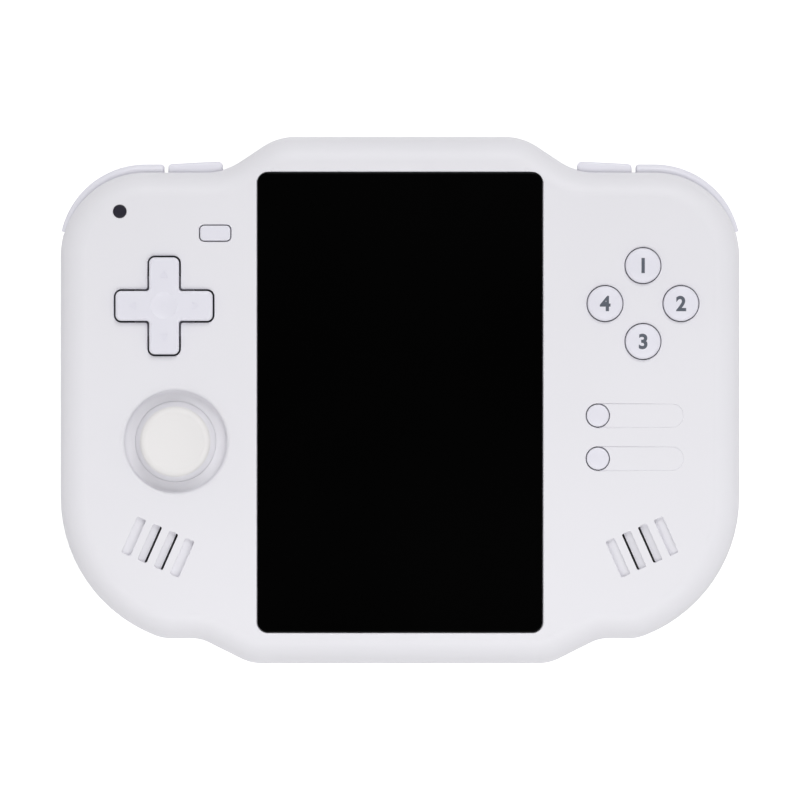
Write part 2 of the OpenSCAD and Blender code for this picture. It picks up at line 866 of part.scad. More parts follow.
module direction_pad()
    color(key_colour)
        translate([pad_x, pad_y, 0])
            difference() {
                union() {
                    soft_prism(cross(pad_span, pad_arm_w, pad_corner_r, pad_inner_r), pad_flange_z,
                        z_front + pad_rise, pad_edge);
                    translate([0, 0, pad_flange_z])
                        cylinder(d = pad_flange_d, h = pad_flange_t);
                }
                translate([0, 0, pad_pivot_z])
                    sphere(r = pad_ball_r + pin_gap);
                // Finger dish in the middle
                translate([0, 0, z_front + pad_rise + pad_dish_r - pad_dish_depth])
                    sphere(r = pad_dish_r);
                // Arrow marks
                for (a = [0:90:270])
                    rotate([0, 0, a])
                        translate([0, pad_span / 2 - arrow_in, z_front + pad_rise - arrow_depth])
                            linear_extrude(1)
                                polygon([[-arrow_w / 2, 0], [arrow_w / 2, 0], [0, arrow_l]]);
            }

module pad_ball()
    color(metal_colour)
        translate([pad_x, pad_y, pad_pivot_z])
            sphere(r = pad_ball_r);

module pad_post()
    color(dark_colour)
        translate([pad_x, pad_y, 0])
            difference() {
                translate([0, 0, board_top])
                    cylinder(r = pad_post_r, h = pad_post_top - board_top);
                translate([0, 0, pad_pivot_z])
                    sphere(r = pad_ball_r + pin_gap);
            }

// A rubber dome under a button
module dome(top_z, r)
    translate([0, 0, board_top + sheet_t - lap])
        cylinder(r1 = r, r2 = r * 0.7, h = top_z - board_top - sheet_t + lap);

module pad_membrane()
    color(rubber_colour)
        translate([pad_x, pad_y, 0])
            difference() {
                union() {
                    translate([0, 0, board_top])
                        cylinder(r = pad_sheet_r, h = sheet_t);
                    for (a = [0:90:270])
                        rotate([0, 0, a])
                            translate([pad_dome_reach, 0, 0])
                                dome(pad_flange_z - dome_gap, pad_dome_r);
                }
                translate([0, 0, board_top - 1])
                    cylinder(r = pad_post_r + 0.5, h = 4);
            }

// Round buttons

module round_button(d, rise, edge, crown, flange_d) {
    r = d / 2;
    top = z_front + rise;
    rotate_extrude()
        polygon(concat(
            [[0, flange_bottom], [flange_d / 2, flange_bottom], [flange_d / 2, flange_top], [r, flange_top]],
            arc(r - edge, top - crown - edge, edge, 0, 90, 5),
            [for (k = [0.8:-0.2:0.1]) [(r - edge) * k, top - crown * k * k]],
            [[0, top]]
        ));
}

module face_button(i)
    color(key_colour)
        translate([face_x + face_spots[i].x, face_y + face_spots[i].y, 0]) {
            round_button(face_d, face_rise, 0.6, 0.35, face_d + 2 * face_flange_w);
            // Tab that keeps the button from turning
            rotate([0, 0, -90 * i])
                translate([-face_tab_w / 2, -face_d / 2 - face_tab_l, flange_bottom])
                    cube([face_tab_w, face_tab_l, flange_t]);
        }

module face_button_top()
    face_button(0);

module face_button_right()
    face_button(1);

module face_button_bottom()
    face_button(2);

module face_button_left()
    face_button(3);

module face_membrane()
    color(rubber_colour)
        translate([face_x, face_y, 0]) {
            rotate([0, 0, 45])
                prism(rectangle(face_sheet_reach * sqrt(2), face_sheet_reach * sqrt(2), face_sheet_r),
                    board_top, board_top + sheet_t);
            for (s = face_spots)
                translate([s.x, s.y, 0])
                    dome(flange_bottom - dome_gap, face_dome_r);
        }

module menu_button(y)
    color(key_colour)
        translate([menu_x, y, 0])
            round_button(menu_d, menu_rise, 0.4, 0.2, menu_d + 2 * menu_flange_w);

module menu_button_upper()
    menu_button(menu_y);

module menu_button_lower()
    menu_button(menu_lower_y);

module menu_membrane()
    color(rubber_colour) {
        translate([menu_x, menu_y - menu_pitch / 2, 0])
            prism(rectangle(menu_sheet_w, menu_pitch + menu_sheet_w, 3), board_top, board_top + sheet_t);
        for (y = [menu_y, menu_lower_y])
            translate([menu_x, y, 0])
                dome(flange_bottom - dome_gap, menu_dome_r);
    }

// Home button

module home_button()
    color(key_colour)
        translate([home_x, home_y, 0]) {
            soft_prism(rectangle(home_w, home_h, home_corner_r), flange_bottom + lap, z_front + home_rise, 0.3);
            prism(rectangle(home_w + 2 * home_flange_w, home_h + 2 * home_flange_w, 1), flange_bottom, flange_top);
            translate([0, 0, home_stem_z])
                cylinder(r = home_stem_r, h = flange_bottom - home_stem_z + lap);
        }

module home_switch()
    color(dark_colour)
        translate([home_x, home_y, board_top]) {
            translate([-home_switch_w / 2, -home_switch_w / 2, 0])
                cube([home_switch_w, home_switch_w, home_switch_h]);
            cylinder(r = home_stem_r + 0.2, h = home_stem_z - board_top - home_travel - dome_gap);
        }

// Thumbstick

module stick_case()
    color(dark_colour)
        translate([stick_x, stick_y, 0])
            difference() {
                translate([-stick_case_w / 2, -stick_case_w / 2, stick_case_z])
                    cube([stick_case_w, stick_case_w, stick_case_top - stick_case_z]);
                translate([stick_case_wall - stick_case_w / 2, stick_case_wall - stick_case_w / 2, stick_case_z + 0.8])
                    cube([stick_case_w - 2 * stick_case_wall, stick_case_w - 2 * stick_case_wall, 9]);
                translate([-stick_case_w, 0, pivot_z])
                    rotate([0, 90, 0])
                        cylinder(r = trunnion_r + pin_gap, h = 2 * stick_case_w);
            }

module stick_yoke()
    color(metal_colour)
        translate([stick_x, stick_y, pivot_z])
            difference() {
                union() {
                    translate([-yoke_w / 2, -yoke_w / 2, -trunnion_r])
                        cube([yoke_w, yoke_w, 2 * trunnion_r]);
                    rotate([0, 90, 0])
                        cylinder(r = trunnion_r, h = stick_case_w, center = true);
                }
                translate([-yoke_hole_w / 2, -yoke_hole_w / 2, -2])
                    cube([yoke_hole_w, yoke_hole_w, 4]);
                rotate([90, 0, 0])
                    cylinder(r = 0.7 + pin_gap, h = 2 * yoke_w, center = true);
            }

module stick_block()
    color(metal_colour)
        translate([stick_x, stick_y, pivot_z])
            difference() {
                union() {
                    translate([-block_w / 2, -block_w / 2, -1.3])
                        cube([block_w, block_w, 2.6]);
                    rotate([90, 0, 0])
                        cylinder(r = 0.7, h = yoke_w, center = true);
                }
                cylinder(r = shaft_r + pin_gap, h = 9, center = true);
            }

// Shaft with the dome that closes the well
module stick_shaft()
    color(shell_colour)
        translate([stick_x, stick_y, pivot_z])
            rotate_extrude()
                polygon(concat(
                    [[0, shaft_foot - pivot_z], [shaft_r, shaft_foot - pivot_z]],
                    arc(0, 0, dome_r - dome_t, acos(shaft_r / (dome_r - dome_t)), -4, 14),
                    arc(0, 0, dome_r, -4, acos(1.2 / dome_r), 14),
                    [[1.2, dome_r + 0.6], [0, dome_r + 0.6]]
                ));

module stick_cap()
    color(cap_colour)
        translate([stick_x, stick_y, 0])
            difference() {
                rotate_extrude()
                    polygon(concat(
                        [[0, cap_under], [cap_r - 0.5, cap_under]],
                        arc(cap_r - 0.5, cap_under + 0.5, 0.5, -60, 0, 3),
                        arc(cap_r - 1.1, cap_top - 1.1, 1.1, 0, 100, 6),
                        [for (k = [0.84:-0.12:0.1]) [(cap_r - 1.1) * k, cap_top - stick_dish * (1 - k * k)]],
                        [[0, cap_top - stick_dish]]
                    ));
                translate([0, 0, pivot_z])
                    sphere(r = dome_r + 0.02);
                translate([0, 0, pivot_z])
                    cylinder(r = 1.22, h = dome_r + 0.62);
            }

// Shoulder keys

function bumper_profile() = concat(
    [[bumper_in_r, shoulder_z0]],
    arc(bumper_r - bumper_edge, shoulder_z0 + bumper_edge, bumper_edge, -90, 0, 4),
    arc(bumper_r - bumper_edge, shoulder_z1 - bumper_edge, bumper_edge, 0, 90, 4),
    [[bumper_in_r, shoulder_z1]]
);

// Bumper of the right side, with its hinge at the outer end
module bumper()
    difference() {
        union() {
            swept_path(
                concat(
                    [for (a = [0:bumper_sweep / 11:bumper_sweep + 0.1])
                        [bumper_x, bumper_y, 90 - bumper_sweep + a]],
                    [[bumper_x - bumper_straight, bumper_y, 90]]
                ),
                bumper_profile()
            );
            // Lips that hold the bumper behind the walls
            translate([bumper_x, bumper_y, shoulder_z0 - lip_reach - slot_gap])
                rotate([0, 0, 42])
                    rotate_extrude(angle = 42)
                        translate([bumper_in_r + 0.15, 0])
                            square([lip_depth - 0.15, shoulder_h + 2 * (lip_reach + slot_gap)]);
            translate([bumper_x + hinge_dx, bumper_y + hinge_dy, shoulder_z0])
                cylinder(r = ear_r, h = shoulder_h);
        }
        translate([bumper_x + hinge_dx, bumper_y + hinge_dy, shoulder_z0 - 1])
            cylinder(r = hinge_pin_r + pin_gap, h = shoulder_h + 2);
    }

module right_bumper()
    color(key_colour)
        bumper();

module left_bumper()
    color(key_colour)
        mirror([1, 0, 0])
            bumper();

module bumper_pins()
    color(metal_colour)
        at_hinges()
            translate([0, 0, slot_z0 - pin_seat])
                cylinder(r = hinge_pin_r, h = slot_z1 - slot_z0 + 2 * pin_seat);

// Trigger of the right side
module trigger()
    translate([(trigger_x0 + trigger_x1) / 2, trigger_in_y, (shoulder_z0 + shoulder_z1) / 2])
        to_top_edge() {
            soft_prism(rectangle(trigger_w, shoulder_h, 1.2), lap, trigger_top - trigger_in_y, 0.7);
            prism(rectangle(trigger_w, shoulder_h + 2 * (lip_reach + slot_gap), 1), 0, lip_depth);
        }

module right_trigger()
    color(key_colour)
        trigger();

module left_trigger()
    color(key_colour)
        mirror([1, 0, 0])
            trigger();

module edge_switch(x, tip_y, w)
    translate([x, tip_y, 0]) {
        translate([-w / 2, -3.4, board_bottom - 3.2])
            cube([w, 3, 3.2]);
        translate([0, -0.6, board_bottom - 1.6])
            to_top_edge()
                cylinder(r = 0.7, h = 0.6);
    }

module shoulder_switches()
    color(dark_colour)
        both_sides() {
            edge_switch((trigger_x0 + trigger_x1) / 2, trigger_in_y - trigger_travel - 0.1, 5.5);
            edge_switch(bumper_x - 0.4, trigger_in_y - trigger_travel - 0.1, 5.5);
        }

// Keys on the top edge

module power_key()
    color(key_colour)
        translate([power_x, key_flange_y, z_part])
            to_top_edge() {
                soft_prism(rectangle(power_w, key_h, 1.4), lap, key_top - key_flange_y, 0.3);
                prism(rectangle(power_w + 1.6, key_h + 1.6, 1), 0, key_flange_t);
            }

module volume_rocker()
    color(key_colour)
        translate([-volume_x, key_flange_y, z_part]) {
            to_top_edge() {
                soft_prism(rectangle(volume_w, key_h, 1.4), lap, key_top - key_flange_y, 0.3);
                prism(rectangle(volume_w + 1.6, key_h + 1.6, 1), 0, key_flange_t);
            }
            translate([0, 0, -1.5])
                cylinder(r = 0.6, h = 3);
        }

module edge_switches()
    color(dark_colour) {
        edge_switch(power_x, switch_tip_y, 4);
        edge_switch(-volume_x - 5.5, switch_tip_y, 4);
        edge_switch(5.5 - volume_x, switch_tip_y, 4);
        // Block that the rocker turns on
        translate([-volume_x - 1.5, key_flange_y - 0.65 - 3, board_bottom - 3.2])
            cube([3, 3, 3.2]);
    }

// Ports

module usb_port()
    color(metal_colour)
        translate([0, -top_y + 0.3, z_part])
            to_top_edge() {
                difference() {
                    prism(rectangle(usb_w, usb_h, 1.5), 0, usb_l);
                    prism(rectangle(usb_w - 0.6, usb_h - 0.6, 1.2), -1, usb_l - 0.6);
                }
                translate([-3.35, -0.35, 0.8])
                    cube([6.7, 0.7, usb_l - 1]);
            }

module headphone_jack()
    color(dark_colour)
        translate([jack_x, -top_y + wall + jack_back, jack_z])
            difference() {
                translate([-jack_w / 2, 0, -jack_h / 2])
                    cube([jack_w, jack_l, jack_h]);
                rotate([-90, 0, 0])
                    translate([0, 0, -1])
                        cylinder(r = jack_r, h = jack_l);
            }

module card_socket()
    color(metal_colour)
        translate([-card_x, -top_y + wall + 0.15, board_bottom])
            difference() {
                translate([-card_w / 2, 0, -card_h])
                    cube([card_w, card_l, card_h]);
                translate([-5.6, -1, -card_h / 2 - 0.45])
                    cube([11.2, card_l, 0.9]);
            }

// Small parts

module indicator_lens()
    color([0.18, 0.175, 0.21])
        translate([-lens_x, lens_y, board_top])
            cylinder(d = lens_d, h = z_front - board_top - 0.1);

module rubber_feet()
    color([0.3, 0.3, 0.32])
        at_spots(foot_spots)
            cylinder(r = foot_r, h = foot_stand + foot_sink);

module case_screws()
    color(metal_colour)
        at_spots(screw_spots)
            difference() {
                union() {
                    translate([0, 0, screw_seat_z - screw_head_t])
                        cylinder(r = screw_head_r, h = screw_head_t);
                    translate([0, 0, screw_seat_z - lap])
                        cylinder(r = screw_r, h = z_inner - screw_seat_z - 1);
                }
                // Cross recess
                for (a = [0, 90])
                    rotate([0, 0, a])
                        translate([-screw_slot_l / 2, -screw_slot_w / 2, screw_seat_z - screw_head_t - 1])
                            cube([screw_slot_l, screw_slot_w, 1.8]);
            }

front_shell();
rear_shell();
cover_glass();
screen_gasket();
display_panel();
display_ribbon();
main_board();
shield_can();
battery();
left_speaker();
right_speaker();
speaker_meshes();
direction_pad();
pad_ball();
pad_post();
pad_membrane();
face_button_top();
face_button_right();
face_button_bottom();
face_button_left();
face_membrane();
menu_button_upper();
menu_button_lower();
menu_membrane();
home_button();
home_switch();
stick_case();
stick_yoke();
stick_block();
stick_shaft();
stick_cap();
left_bumper();
right_bumper();
bumper_pins();
left_trigger();
right_trigger();
shoulder_switches();
power_key();
volume_rocker();
edge_switches();
usb_port();
headphone_jack();
card_socket();
indicator_lens();
rubber_feet();
case_screws();
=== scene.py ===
"""Looks of a handheld game console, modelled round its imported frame. Lengths are in metres."""

import math

import bmesh
import bpy
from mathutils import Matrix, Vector


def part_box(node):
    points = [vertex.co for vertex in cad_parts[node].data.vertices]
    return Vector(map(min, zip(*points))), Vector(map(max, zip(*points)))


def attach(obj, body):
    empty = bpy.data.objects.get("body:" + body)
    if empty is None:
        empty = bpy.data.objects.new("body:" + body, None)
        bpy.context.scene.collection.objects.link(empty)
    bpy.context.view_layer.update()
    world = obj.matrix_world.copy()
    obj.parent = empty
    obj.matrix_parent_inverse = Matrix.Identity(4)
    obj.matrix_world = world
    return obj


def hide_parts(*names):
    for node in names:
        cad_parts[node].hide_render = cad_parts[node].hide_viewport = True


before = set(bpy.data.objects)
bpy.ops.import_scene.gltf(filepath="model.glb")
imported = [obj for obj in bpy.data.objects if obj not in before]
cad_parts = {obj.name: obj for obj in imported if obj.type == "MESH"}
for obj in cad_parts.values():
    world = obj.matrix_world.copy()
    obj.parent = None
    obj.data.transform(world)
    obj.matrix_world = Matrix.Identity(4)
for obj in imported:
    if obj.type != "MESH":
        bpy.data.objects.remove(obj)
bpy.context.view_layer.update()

bl_info = {
    "name": "Handheld console looks",
    "version": (1, 0, 0),
    "blender": (4, 5, 0),
    "location": "View3D > Sidebar > Console",
    "description": "Models the shells, keys, screen and finishes of a handheld game console",
    "category": "Add Mesh",
}

MM = 0.001
TINY = 2e-6
ARC_STEP = math.radians(5)
SHARP = math.radians(40)

FRONT_LOW, FRONT_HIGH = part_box("front_shell")
GLASS_LOW, GLASS_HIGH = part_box("cover_glass")
PAD_LOW, PAD_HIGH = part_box("direction_pad")
HOME_LOW, HOME_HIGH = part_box("home_button")
CAP_LOW, CAP_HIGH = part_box("stick_cap")
BUMPER_LOW, BUMPER_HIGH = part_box("right_bumper")
TRIGGER_LOW, TRIGGER_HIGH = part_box("right_trigger")
LENS_LOW, LENS_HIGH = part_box("indicator_lens")

SIDE_X = FRONT_HIGH.x
TOP_Y = FRONT_HIGH.y
Z_FRONT = FRONT_HIGH.z


def from_screen(red, green, blue):
    """A colour as a picture editor shows it, turned into a linear one"""
    return [((c / 255 + 0.055) / 1.055) ** 2.4 for c in (red, green, blue)]


def length(name, description, default):
    return bpy.props.FloatProperty(name=name, description=description, default=default, unit="LENGTH", precision=5)


def colour(name, description, red, green, blue):
    return bpy.props.FloatVectorProperty(
        name=name, description=description, default=from_screen(red, green, blue),
        subtype="COLOR", size=3, min=0, max=1)


class HandheldSizes(bpy.types.PropertyGroup):
    """Sizes of the visible pieces"""

    wall: length("Wall", "Thickness of the shells", 2.0 * MM)
    z_back: length("Back", "Height of the back face over the floor", 0.6 * MM)
    z_seam: length("Seam", "Height of the line between the shells", 9.2 * MM)
    front_edge: length("Front edge", "Rounding of the front edge", 5.5 * MM)
    rear_edge: length("Rear edge", "Rounding of the rear edge", 7.0 * MM)
    seam_edge: length("Seam edge", "Chamfer along the seam", 0.15 * MM)
    wing_drop: length("Wing drop", "How far the wings lie below the top edge", 7.45 * MM)
    wing_rise: length("Wing rise", "How far the wings lie above the bottom edge", 5.3 * MM)
    upper_corner: length("Upper corner", "Radius of the wings' upper corners", 18.0 * MM)
    lower_corner: length("Lower corner", "Radius of the wings' lower corners", 31.5 * MM)
    glass_gap: length("Glass gap", "Gap round the cover glass", 0.15 * MM)
    pad_span: length("Pad span", "Span of the direction pad", 20.5 * MM)
    pad_arm: length("Pad arm", "Width of the direction pad's arms", 6.3 * MM)
    pad_gap: length("Pad gap", "Gap round the direction pad", 0.38 * MM)
    key_gap: length("Key gap", "Gap round the other keys", 0.2 * MM)
    face_button: length("Face button", "Diameter of a face button", 7.4 * MM)
    menu_button: length("Menu button", "Diameter of a menu button", 4.7 * MM)
    label_length: length("Label recess", "Length of the recess beside a menu button", 15.6 * MM)
    numeral: length("Numeral", "Size of the numerals on the face buttons", 4.3 * MM)
    stick_well: length("Stick well", "Radius of the bowl round the thumbstick", 10.8 * MM)
    stick_dome: length("Stick dome", "Radius of the dome under the thumbstick's cap", 9.8 * MM)
    stick_pivot: length("Stick pivot", "Depth of the thumbstick's pivot below the front", 7.0 * MM)
    slot_length: length("Sound slot length", "Length of a sound slot", 8.3 * MM)
    slot_width: length("Sound slot width", "Width of a sound slot", 2.0 * MM)
    slot_pitch: length("Sound slot pitch", "Distance from one sound slot to the next", 3.73 * MM)
    slit_w: length("Slit", "Width of the open slit in the middle sound slots", 0.45 * MM)
    speaker_x: length("Speaker across", "Distance of the sound slots from the middle", 51.2 * MM)
    speaker_y: length("Speaker along", "Height of the sound slots on the front", -31.1 * MM)
    glass_r: length("Glass corner", "Corner radius of the cover glass", 2.2 * MM)
    home_w: length("Home width", "Width of the home button", 6.4 * MM)
    home_h: length("Home height", "Height of the home button", 3.2 * MM)
    home_r: length("Home corner", "Corner radius of the home button", 0.9 * MM)
    bumper_r: length("Bumper radius", "Outer radius of the bumpers", 18.3 * MM)
    shoulder_h: length("Shoulder keys", "Height of the bumpers and triggers", 8.0 * MM)
    trigger_reach: length("Trigger reach", "Height of a trigger over its flange, at the middle", 5.95 * MM)
    key_h: length("Edge key height", "Height of the keys on the top edge", 3.0 * MM)
    key_r: length("Edge key corner", "Corner radius of the keys on the top edge", 1.4 * MM)
    power_w: length("Power key", "Width of the power key", 8.4 * MM)
    power_x: length("Power key place", "Distance of the power key from the middle", 12.0 * MM)
    volume_w: length("Volume rocker", "Width of the volume rocker", 17.0 * MM)
    volume_x: length("Volume rocker place", "Distance of the volume rocker from the middle", -10.0 * MM)
    port_x: length("Port place", "Distance of the outer ports from the middle", 16.0 * MM)


class HandheldColours(bpy.types.PropertyGroup):
    """Colours of the finishes"""

    shell: colour("Shell", "Moulded plastic of the body", 231, 230, 235)
    key: colour("Keys", "Plastic of the pad and the buttons", 229, 228, 237)
    shoulder: colour("Shoulder keys", "Plastic of the bumpers and triggers", 232, 231, 240)
    cap: colour("Stick cap", "Soft cap of the thumbstick", 232, 230, 230)
    ink: colour("Numerals", "Printing ink", 88, 93, 104)
    lens: colour("Indicator", "Smoked indicator lens", 44, 42, 52)
    glass: colour("Glass", "Screen that is off", 2, 2, 2)
    rubber: colour("Feet", "Rubber of the feet", 96, 96, 102)
    steel: colour("Steel", "Screws, pins and sockets", 190, 192, 196)


def sizes():
    return bpy.context.scene.handheld_sizes


def colours():
    return bpy.context.scene.handheld_colours


# Modelling steps

def only(piece):
    """Leaves edit mode and selects one object and nothing else"""
    if bpy.context.mode != "OBJECT":
        bpy.ops.object.mode_set(mode="OBJECT")
    bpy.ops.object.select_all(action="DESELECT")
    piece.select_set(True)
    bpy.context.view_layer.objects.active = piece


def edit(piece):
    only(piece)
    bpy.ops.object.mode_set(mode="EDIT")


def start(name, shape, **size):
    """Adds a primitive as the start of a piece and opens it for editing"""
    if bpy.context.mode != "OBJECT":
        bpy.ops.object.mode_set(mode="OBJECT")
    bpy.ops.object.select_all(action="DESELECT")
    getattr(bpy.ops.mesh, f"primitive_{shape}_add")(**size)
    piece = bpy.context.object
    piece.name = name
    piece.data.name = name
    bpy.ops.object.transform_apply()
    bpy.ops.object.mode_set(mode="EDIT")
    bpy.ops.mesh.select_mode(type="VERT")
    bpy.ops.mesh.select_all(action="SELECT")
    return piece


def pick(kind, test):
    """Selects the vertices, edges or faces of the edited mesh that pass a test"""
    data = bpy.context.edit_object.data
    bpy.ops.mesh.select_mode(type=kind)
    bpy.ops.mesh.select_all(action="DESELECT")
    mesh = bmesh.from_edit_mesh(data)
    for part in {"VERT": mesh.verts, "EDGE": mesh.edges, "FACE": mesh.faces}[kind]:
        if test(part):
            part.select_set(True)
    mesh.select_flush_mode()
    bmesh.update_edit_mesh(data)


def at_level(z):
    """Passes an edge or face that lies flat at a height"""
    return lambda part: all(abs(v.co.z - z) < TINY for v in part.verts)


def drawn_face(name, points):
    """A flat face through a ring of points"""
    piece = start(name, "plane", size=MM, location=points[0])
    bpy.ops.mesh.merge(type="CENTER")
    for here, there in zip(points, points[1:]):
        bpy.ops.mesh.extrude_vertices_move(TRANSFORM_OT_translate={"value": Vector(there) - Vector(here)})
    ends = [Vector(points[0]), Vector(points[-1])]
    pick("VERT", lambda v: any((v.co - end).length < TINY for end in ends))
    bpy.ops.mesh.edge_face_add()
    bpy.ops.mesh.select_all(action="SELECT")
    bpy.ops.mesh.edge_face_add()
    return piece


def rounded(corners):
    """Ring of points through corners, each [point, radius], with the corners rounded"""
    ring = []
    for i, (point, radius) in enumerate(corners):
        into = (point - corners[i - 1][0]).normalized()
        out = (corners[(i + 1) % len(corners)][0] - point).normalized()
        turn = into.angle(out)
        aside = (out - into * math.cos(turn)).normalized()
        steps = math.ceil(turn / ARC_STEP) if radius else 0
        first = point - into * radius * math.tan(turn / 2)
        for k in range(steps + 1):
            a = turn * k / steps if steps else 0
            place = first + (into * math.sin(a) + aside * (1 - math.cos(a))) * radius
            if not ring or (place - ring[-1]).length > TINY:
                ring.append(place)
    return ring


def outline(name, corners, z):
    """A flat face with rounded corners, each [x, y, radius]"""
    return drawn_face(name, rounded([(Vector((x, y, z)), radius) for x, y, radius in corners]))


def thicken(height):
    """Pulls the edited face up or down into a solid"""
    bpy.ops.mesh.select_all(action="SELECT")
    bpy.ops.mesh.extrude_region_move(TRANSFORM_OT_translate={"value": (0, 0, height)})
    bpy.ops.mesh.select_all(action="SELECT")
    bpy.ops.mesh.normals_make_consistent(inside=False)


def block(name, corners, z0, z1):
    """A solid with an outline of rounded corners between two heights"""
    piece = outline(name, corners, z0)
    thicken(z1 - z0)
    return piece


def round_edges(radius, segments, test):
    pick("EDGE", test)
    bpy.ops.mesh.bevel(offset=radius, offset_type="OFFSET", segments=segments, profile=0.5, affect="EDGES")


def lathe(name, profile, centre, steps=96):
    """Turns a profile of (radius, height) points about an upright axis into a solid"""
    radius, height = profile[0]
    piece = start(name, "plane", size=MM, location=(centre.x + radius, centre.y, height))
    bpy.ops.mesh.merge(type="CENTER")
    for (r0, z0), (r1, z1) in zip(profile, profile[1:]):
        bpy.ops.mesh.extrude_vertices_move(TRANSFORM_OT_translate={"value": (r1 - r0, 0, z1 - z0)})
    bpy.ops.mesh.select_all(action="SELECT")
    bpy.ops.mesh.spin(steps=steps, angle=math.tau, center=(centre.x, centre.y, 0), axis=(0, 0, 1))
    bpy.ops.mesh.select_all(action="SELECT")
    bpy.ops.mesh.remove_doubles(threshold=TINY)
    bpy.ops.mesh.normals_make_consistent(inside=False)
    return piece


def cut(piece, tool, operation="DIFFERENCE", overlaps=False):
    """Cuts a piece with a tool, or joins or keeps what they share, and removes the tool"""
    only(piece)
    change = piece.modifiers.new("cut", "BOOLEAN")
    change.operation = operation
    change.solver = "EXACT"
    change.use_self = overlaps
    change.object = tool
    bpy.ops.object.modifier_apply(modifier=change.name)
    bpy.data.objects.remove(tool)


def join(pieces):
    """Makes several objects one"""
    only(pieces[0])
    for piece in pieces:
        piece.select_set(True)
    bpy.ops.object.join()
    return pieces[0]


def copy_of(piece, name, move=(0, 0, 0), flip=False, turn=0):
    """A copy with its own mesh, moved, turned about the upright axis or flipped to the other side"""
    only(piece)
    bpy.ops.object.duplicate()
    twin = bpy.context.object
    twin.name = name
    twin.data.name = name
    twin.location = move
    twin.rotation_euler.z = turn
    if flip:
        twin.scale.x = -1
    bpy.ops.object.transform_apply()
    if flip:
        edit(twin)
        bpy.ops.mesh.select_all(action="SELECT")
        bpy.ops.mesh.normals_make_consistent(inside=False)
        only(twin)
    return twin


def stand_up(piece, place):
    """Turns a solid that was drawn upwards so that it points to the top edge, and moves it"""
    only(piece)
    piece.rotation_euler.x = -math.pi / 2
    piece.location = place
    bpy.ops.object.transform_apply()
    return piece


def hand_over(piece, body, finish, *nodes, crease=32):
    """Closes a piece off, gives it its shading, finish and body, and hides the solids that it stands for"""
    edit(piece)
    bpy.ops.mesh.select_all(action="SELECT")
    bpy.ops.mesh.remove_doubles(threshold=TINY)
    bpy.ops.mesh.normals_make_consistent(inside=False)
    only(piece)
    bpy.ops.object.shade_smooth_by_angle(angle=math.radians(crease))
    even = piece.modifiers.new("even_shading", "WEIGHTED_NORMAL")
    even.mode = "FACE_AREA"
    even.keep_sharp = True
    bpy.ops.object.modifier_apply(modifier=even.name)
    piece.data.materials.clear()
    piece.data.materials.append(finish)
    if nodes:
        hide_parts(*nodes)
    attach(piece, body)
    return piece


# Outlines

def rectangle(width, height, radius, x=0.0, y=0.0):
    w, h = width / 2, height / 2
    return [(x - w, y - h, radius), (x + w, y - h, radius), (x + w, y + h, radius), (x - w, y + h, radius)]


def cross(span, arm, outer, inner, x, y):
    s, a = span / 2, arm / 2
    quarter = [(a, a, inner), (a, s, outer), (-a, s, outer)]
    corners = []
    for _ in range(4):
        corners += [(x + cx, y + cy, r) for cx, cy, r in quarter]
        quarter = [(-cy, cx, r) for cx, cy, r in quarter]
    return corners


def arc(x, z, radius, first, last, count):
    """Points of a round stretch in a profile, angles in degrees"""
    angles = [math.radians(first + (last - first) * i / count) for i in range(count + 1)]
    return [(x + radius * math.cos(a), z + radius * math.sin(a)) for a in angles]


def body_corners():
    s = sizes()
    upper_slope, lower_slope, kink = math.radians(33.7), math.radians(26.6), math.radians(21.4)
    kink_r = 9.0 * MM
    upper_step, lower_step = 26.0 * MM, 31.7 * MM
    wing_top, wing_bottom = TOP_Y - s.wing_drop, s.wing_rise - TOP_Y
    run = s.lower_corner * math.tan((math.pi / 2 - kink) / 2) + kink_r * math.tan(kink / 2)
    reach = run * math.cos(kink)
    half = [
        (lower_step, -TOP_Y, 9.5 * MM),
        (lower_step + s.wing_rise / math.tan(lower_slope), wing_bottom, 8.5 * MM),
        (SIDE_X - reach, wing_bottom, kink_r),
        (SIDE_X, wing_bottom + reach * math.tan(kink), s.lower_corner),
        (SIDE_X, wing_top, s.upper_corner),
        (upper_step + s.wing_drop / math.tan(upper_slope), wing_top, 13.0 * MM),
        (upper_step, TOP_Y, 12.0 * MM),
    ]
    return half + [(-x, y, r) for x, y, r in reversed(half)]


# Finishes

def finish(name, base, roughness, metallic=0.0, specular=0.5):
    """A material with its shader and object coordinates ready for detail"""
    material = bpy.data.materials.new(name)
    material.use_nodes = True
    nodes = material.node_tree.nodes
    shader = nodes["Principled BSDF"]
    shader.inputs["Base Color"].default_value = (*base, 1)
    shader.inputs["Roughness"].default_value = roughness
    shader.inputs["Metallic"].default_value = metallic
    shader.inputs["Specular IOR Level"].default_value = specular
    return material


def noise(material, scale, detail=2.0):
    tree = material.node_tree
    place = tree.nodes.get("Texture Coordinate") or tree.nodes.new("ShaderNodeTexCoord")
    texture = tree.nodes.new("ShaderNodeTexNoise")
    texture.inputs["Scale"].default_value = scale
    texture.inputs["Detail"].default_value = detail
    tree.links.new(place.outputs["Object"], texture.inputs["Vector"])
    return texture.outputs["Fac"]


def shade(material, value, base, spread):
    """Lets the colour drift a little between a darker and a lighter tone"""
    tree = material.node_tree
    ramp = tree.nodes.new("ShaderNodeValToRGB")
    ramp.color_ramp.elements[0].position = 0.3
    ramp.color_ramp.elements[1].position = 0.7
    ramp.color_ramp.elements[0].color = (*[c * (1 - spread) for c in base], 1)
    ramp.color_ramp.elements[1].color = (*[min(1, c * (1 + spread)) for c in base], 1)
    tree.links.new(value, ramp.inputs["Fac"])
    tree.links.new(ramp.outputs["Color"], tree.nodes["Principled BSDF"].inputs["Base Color"])


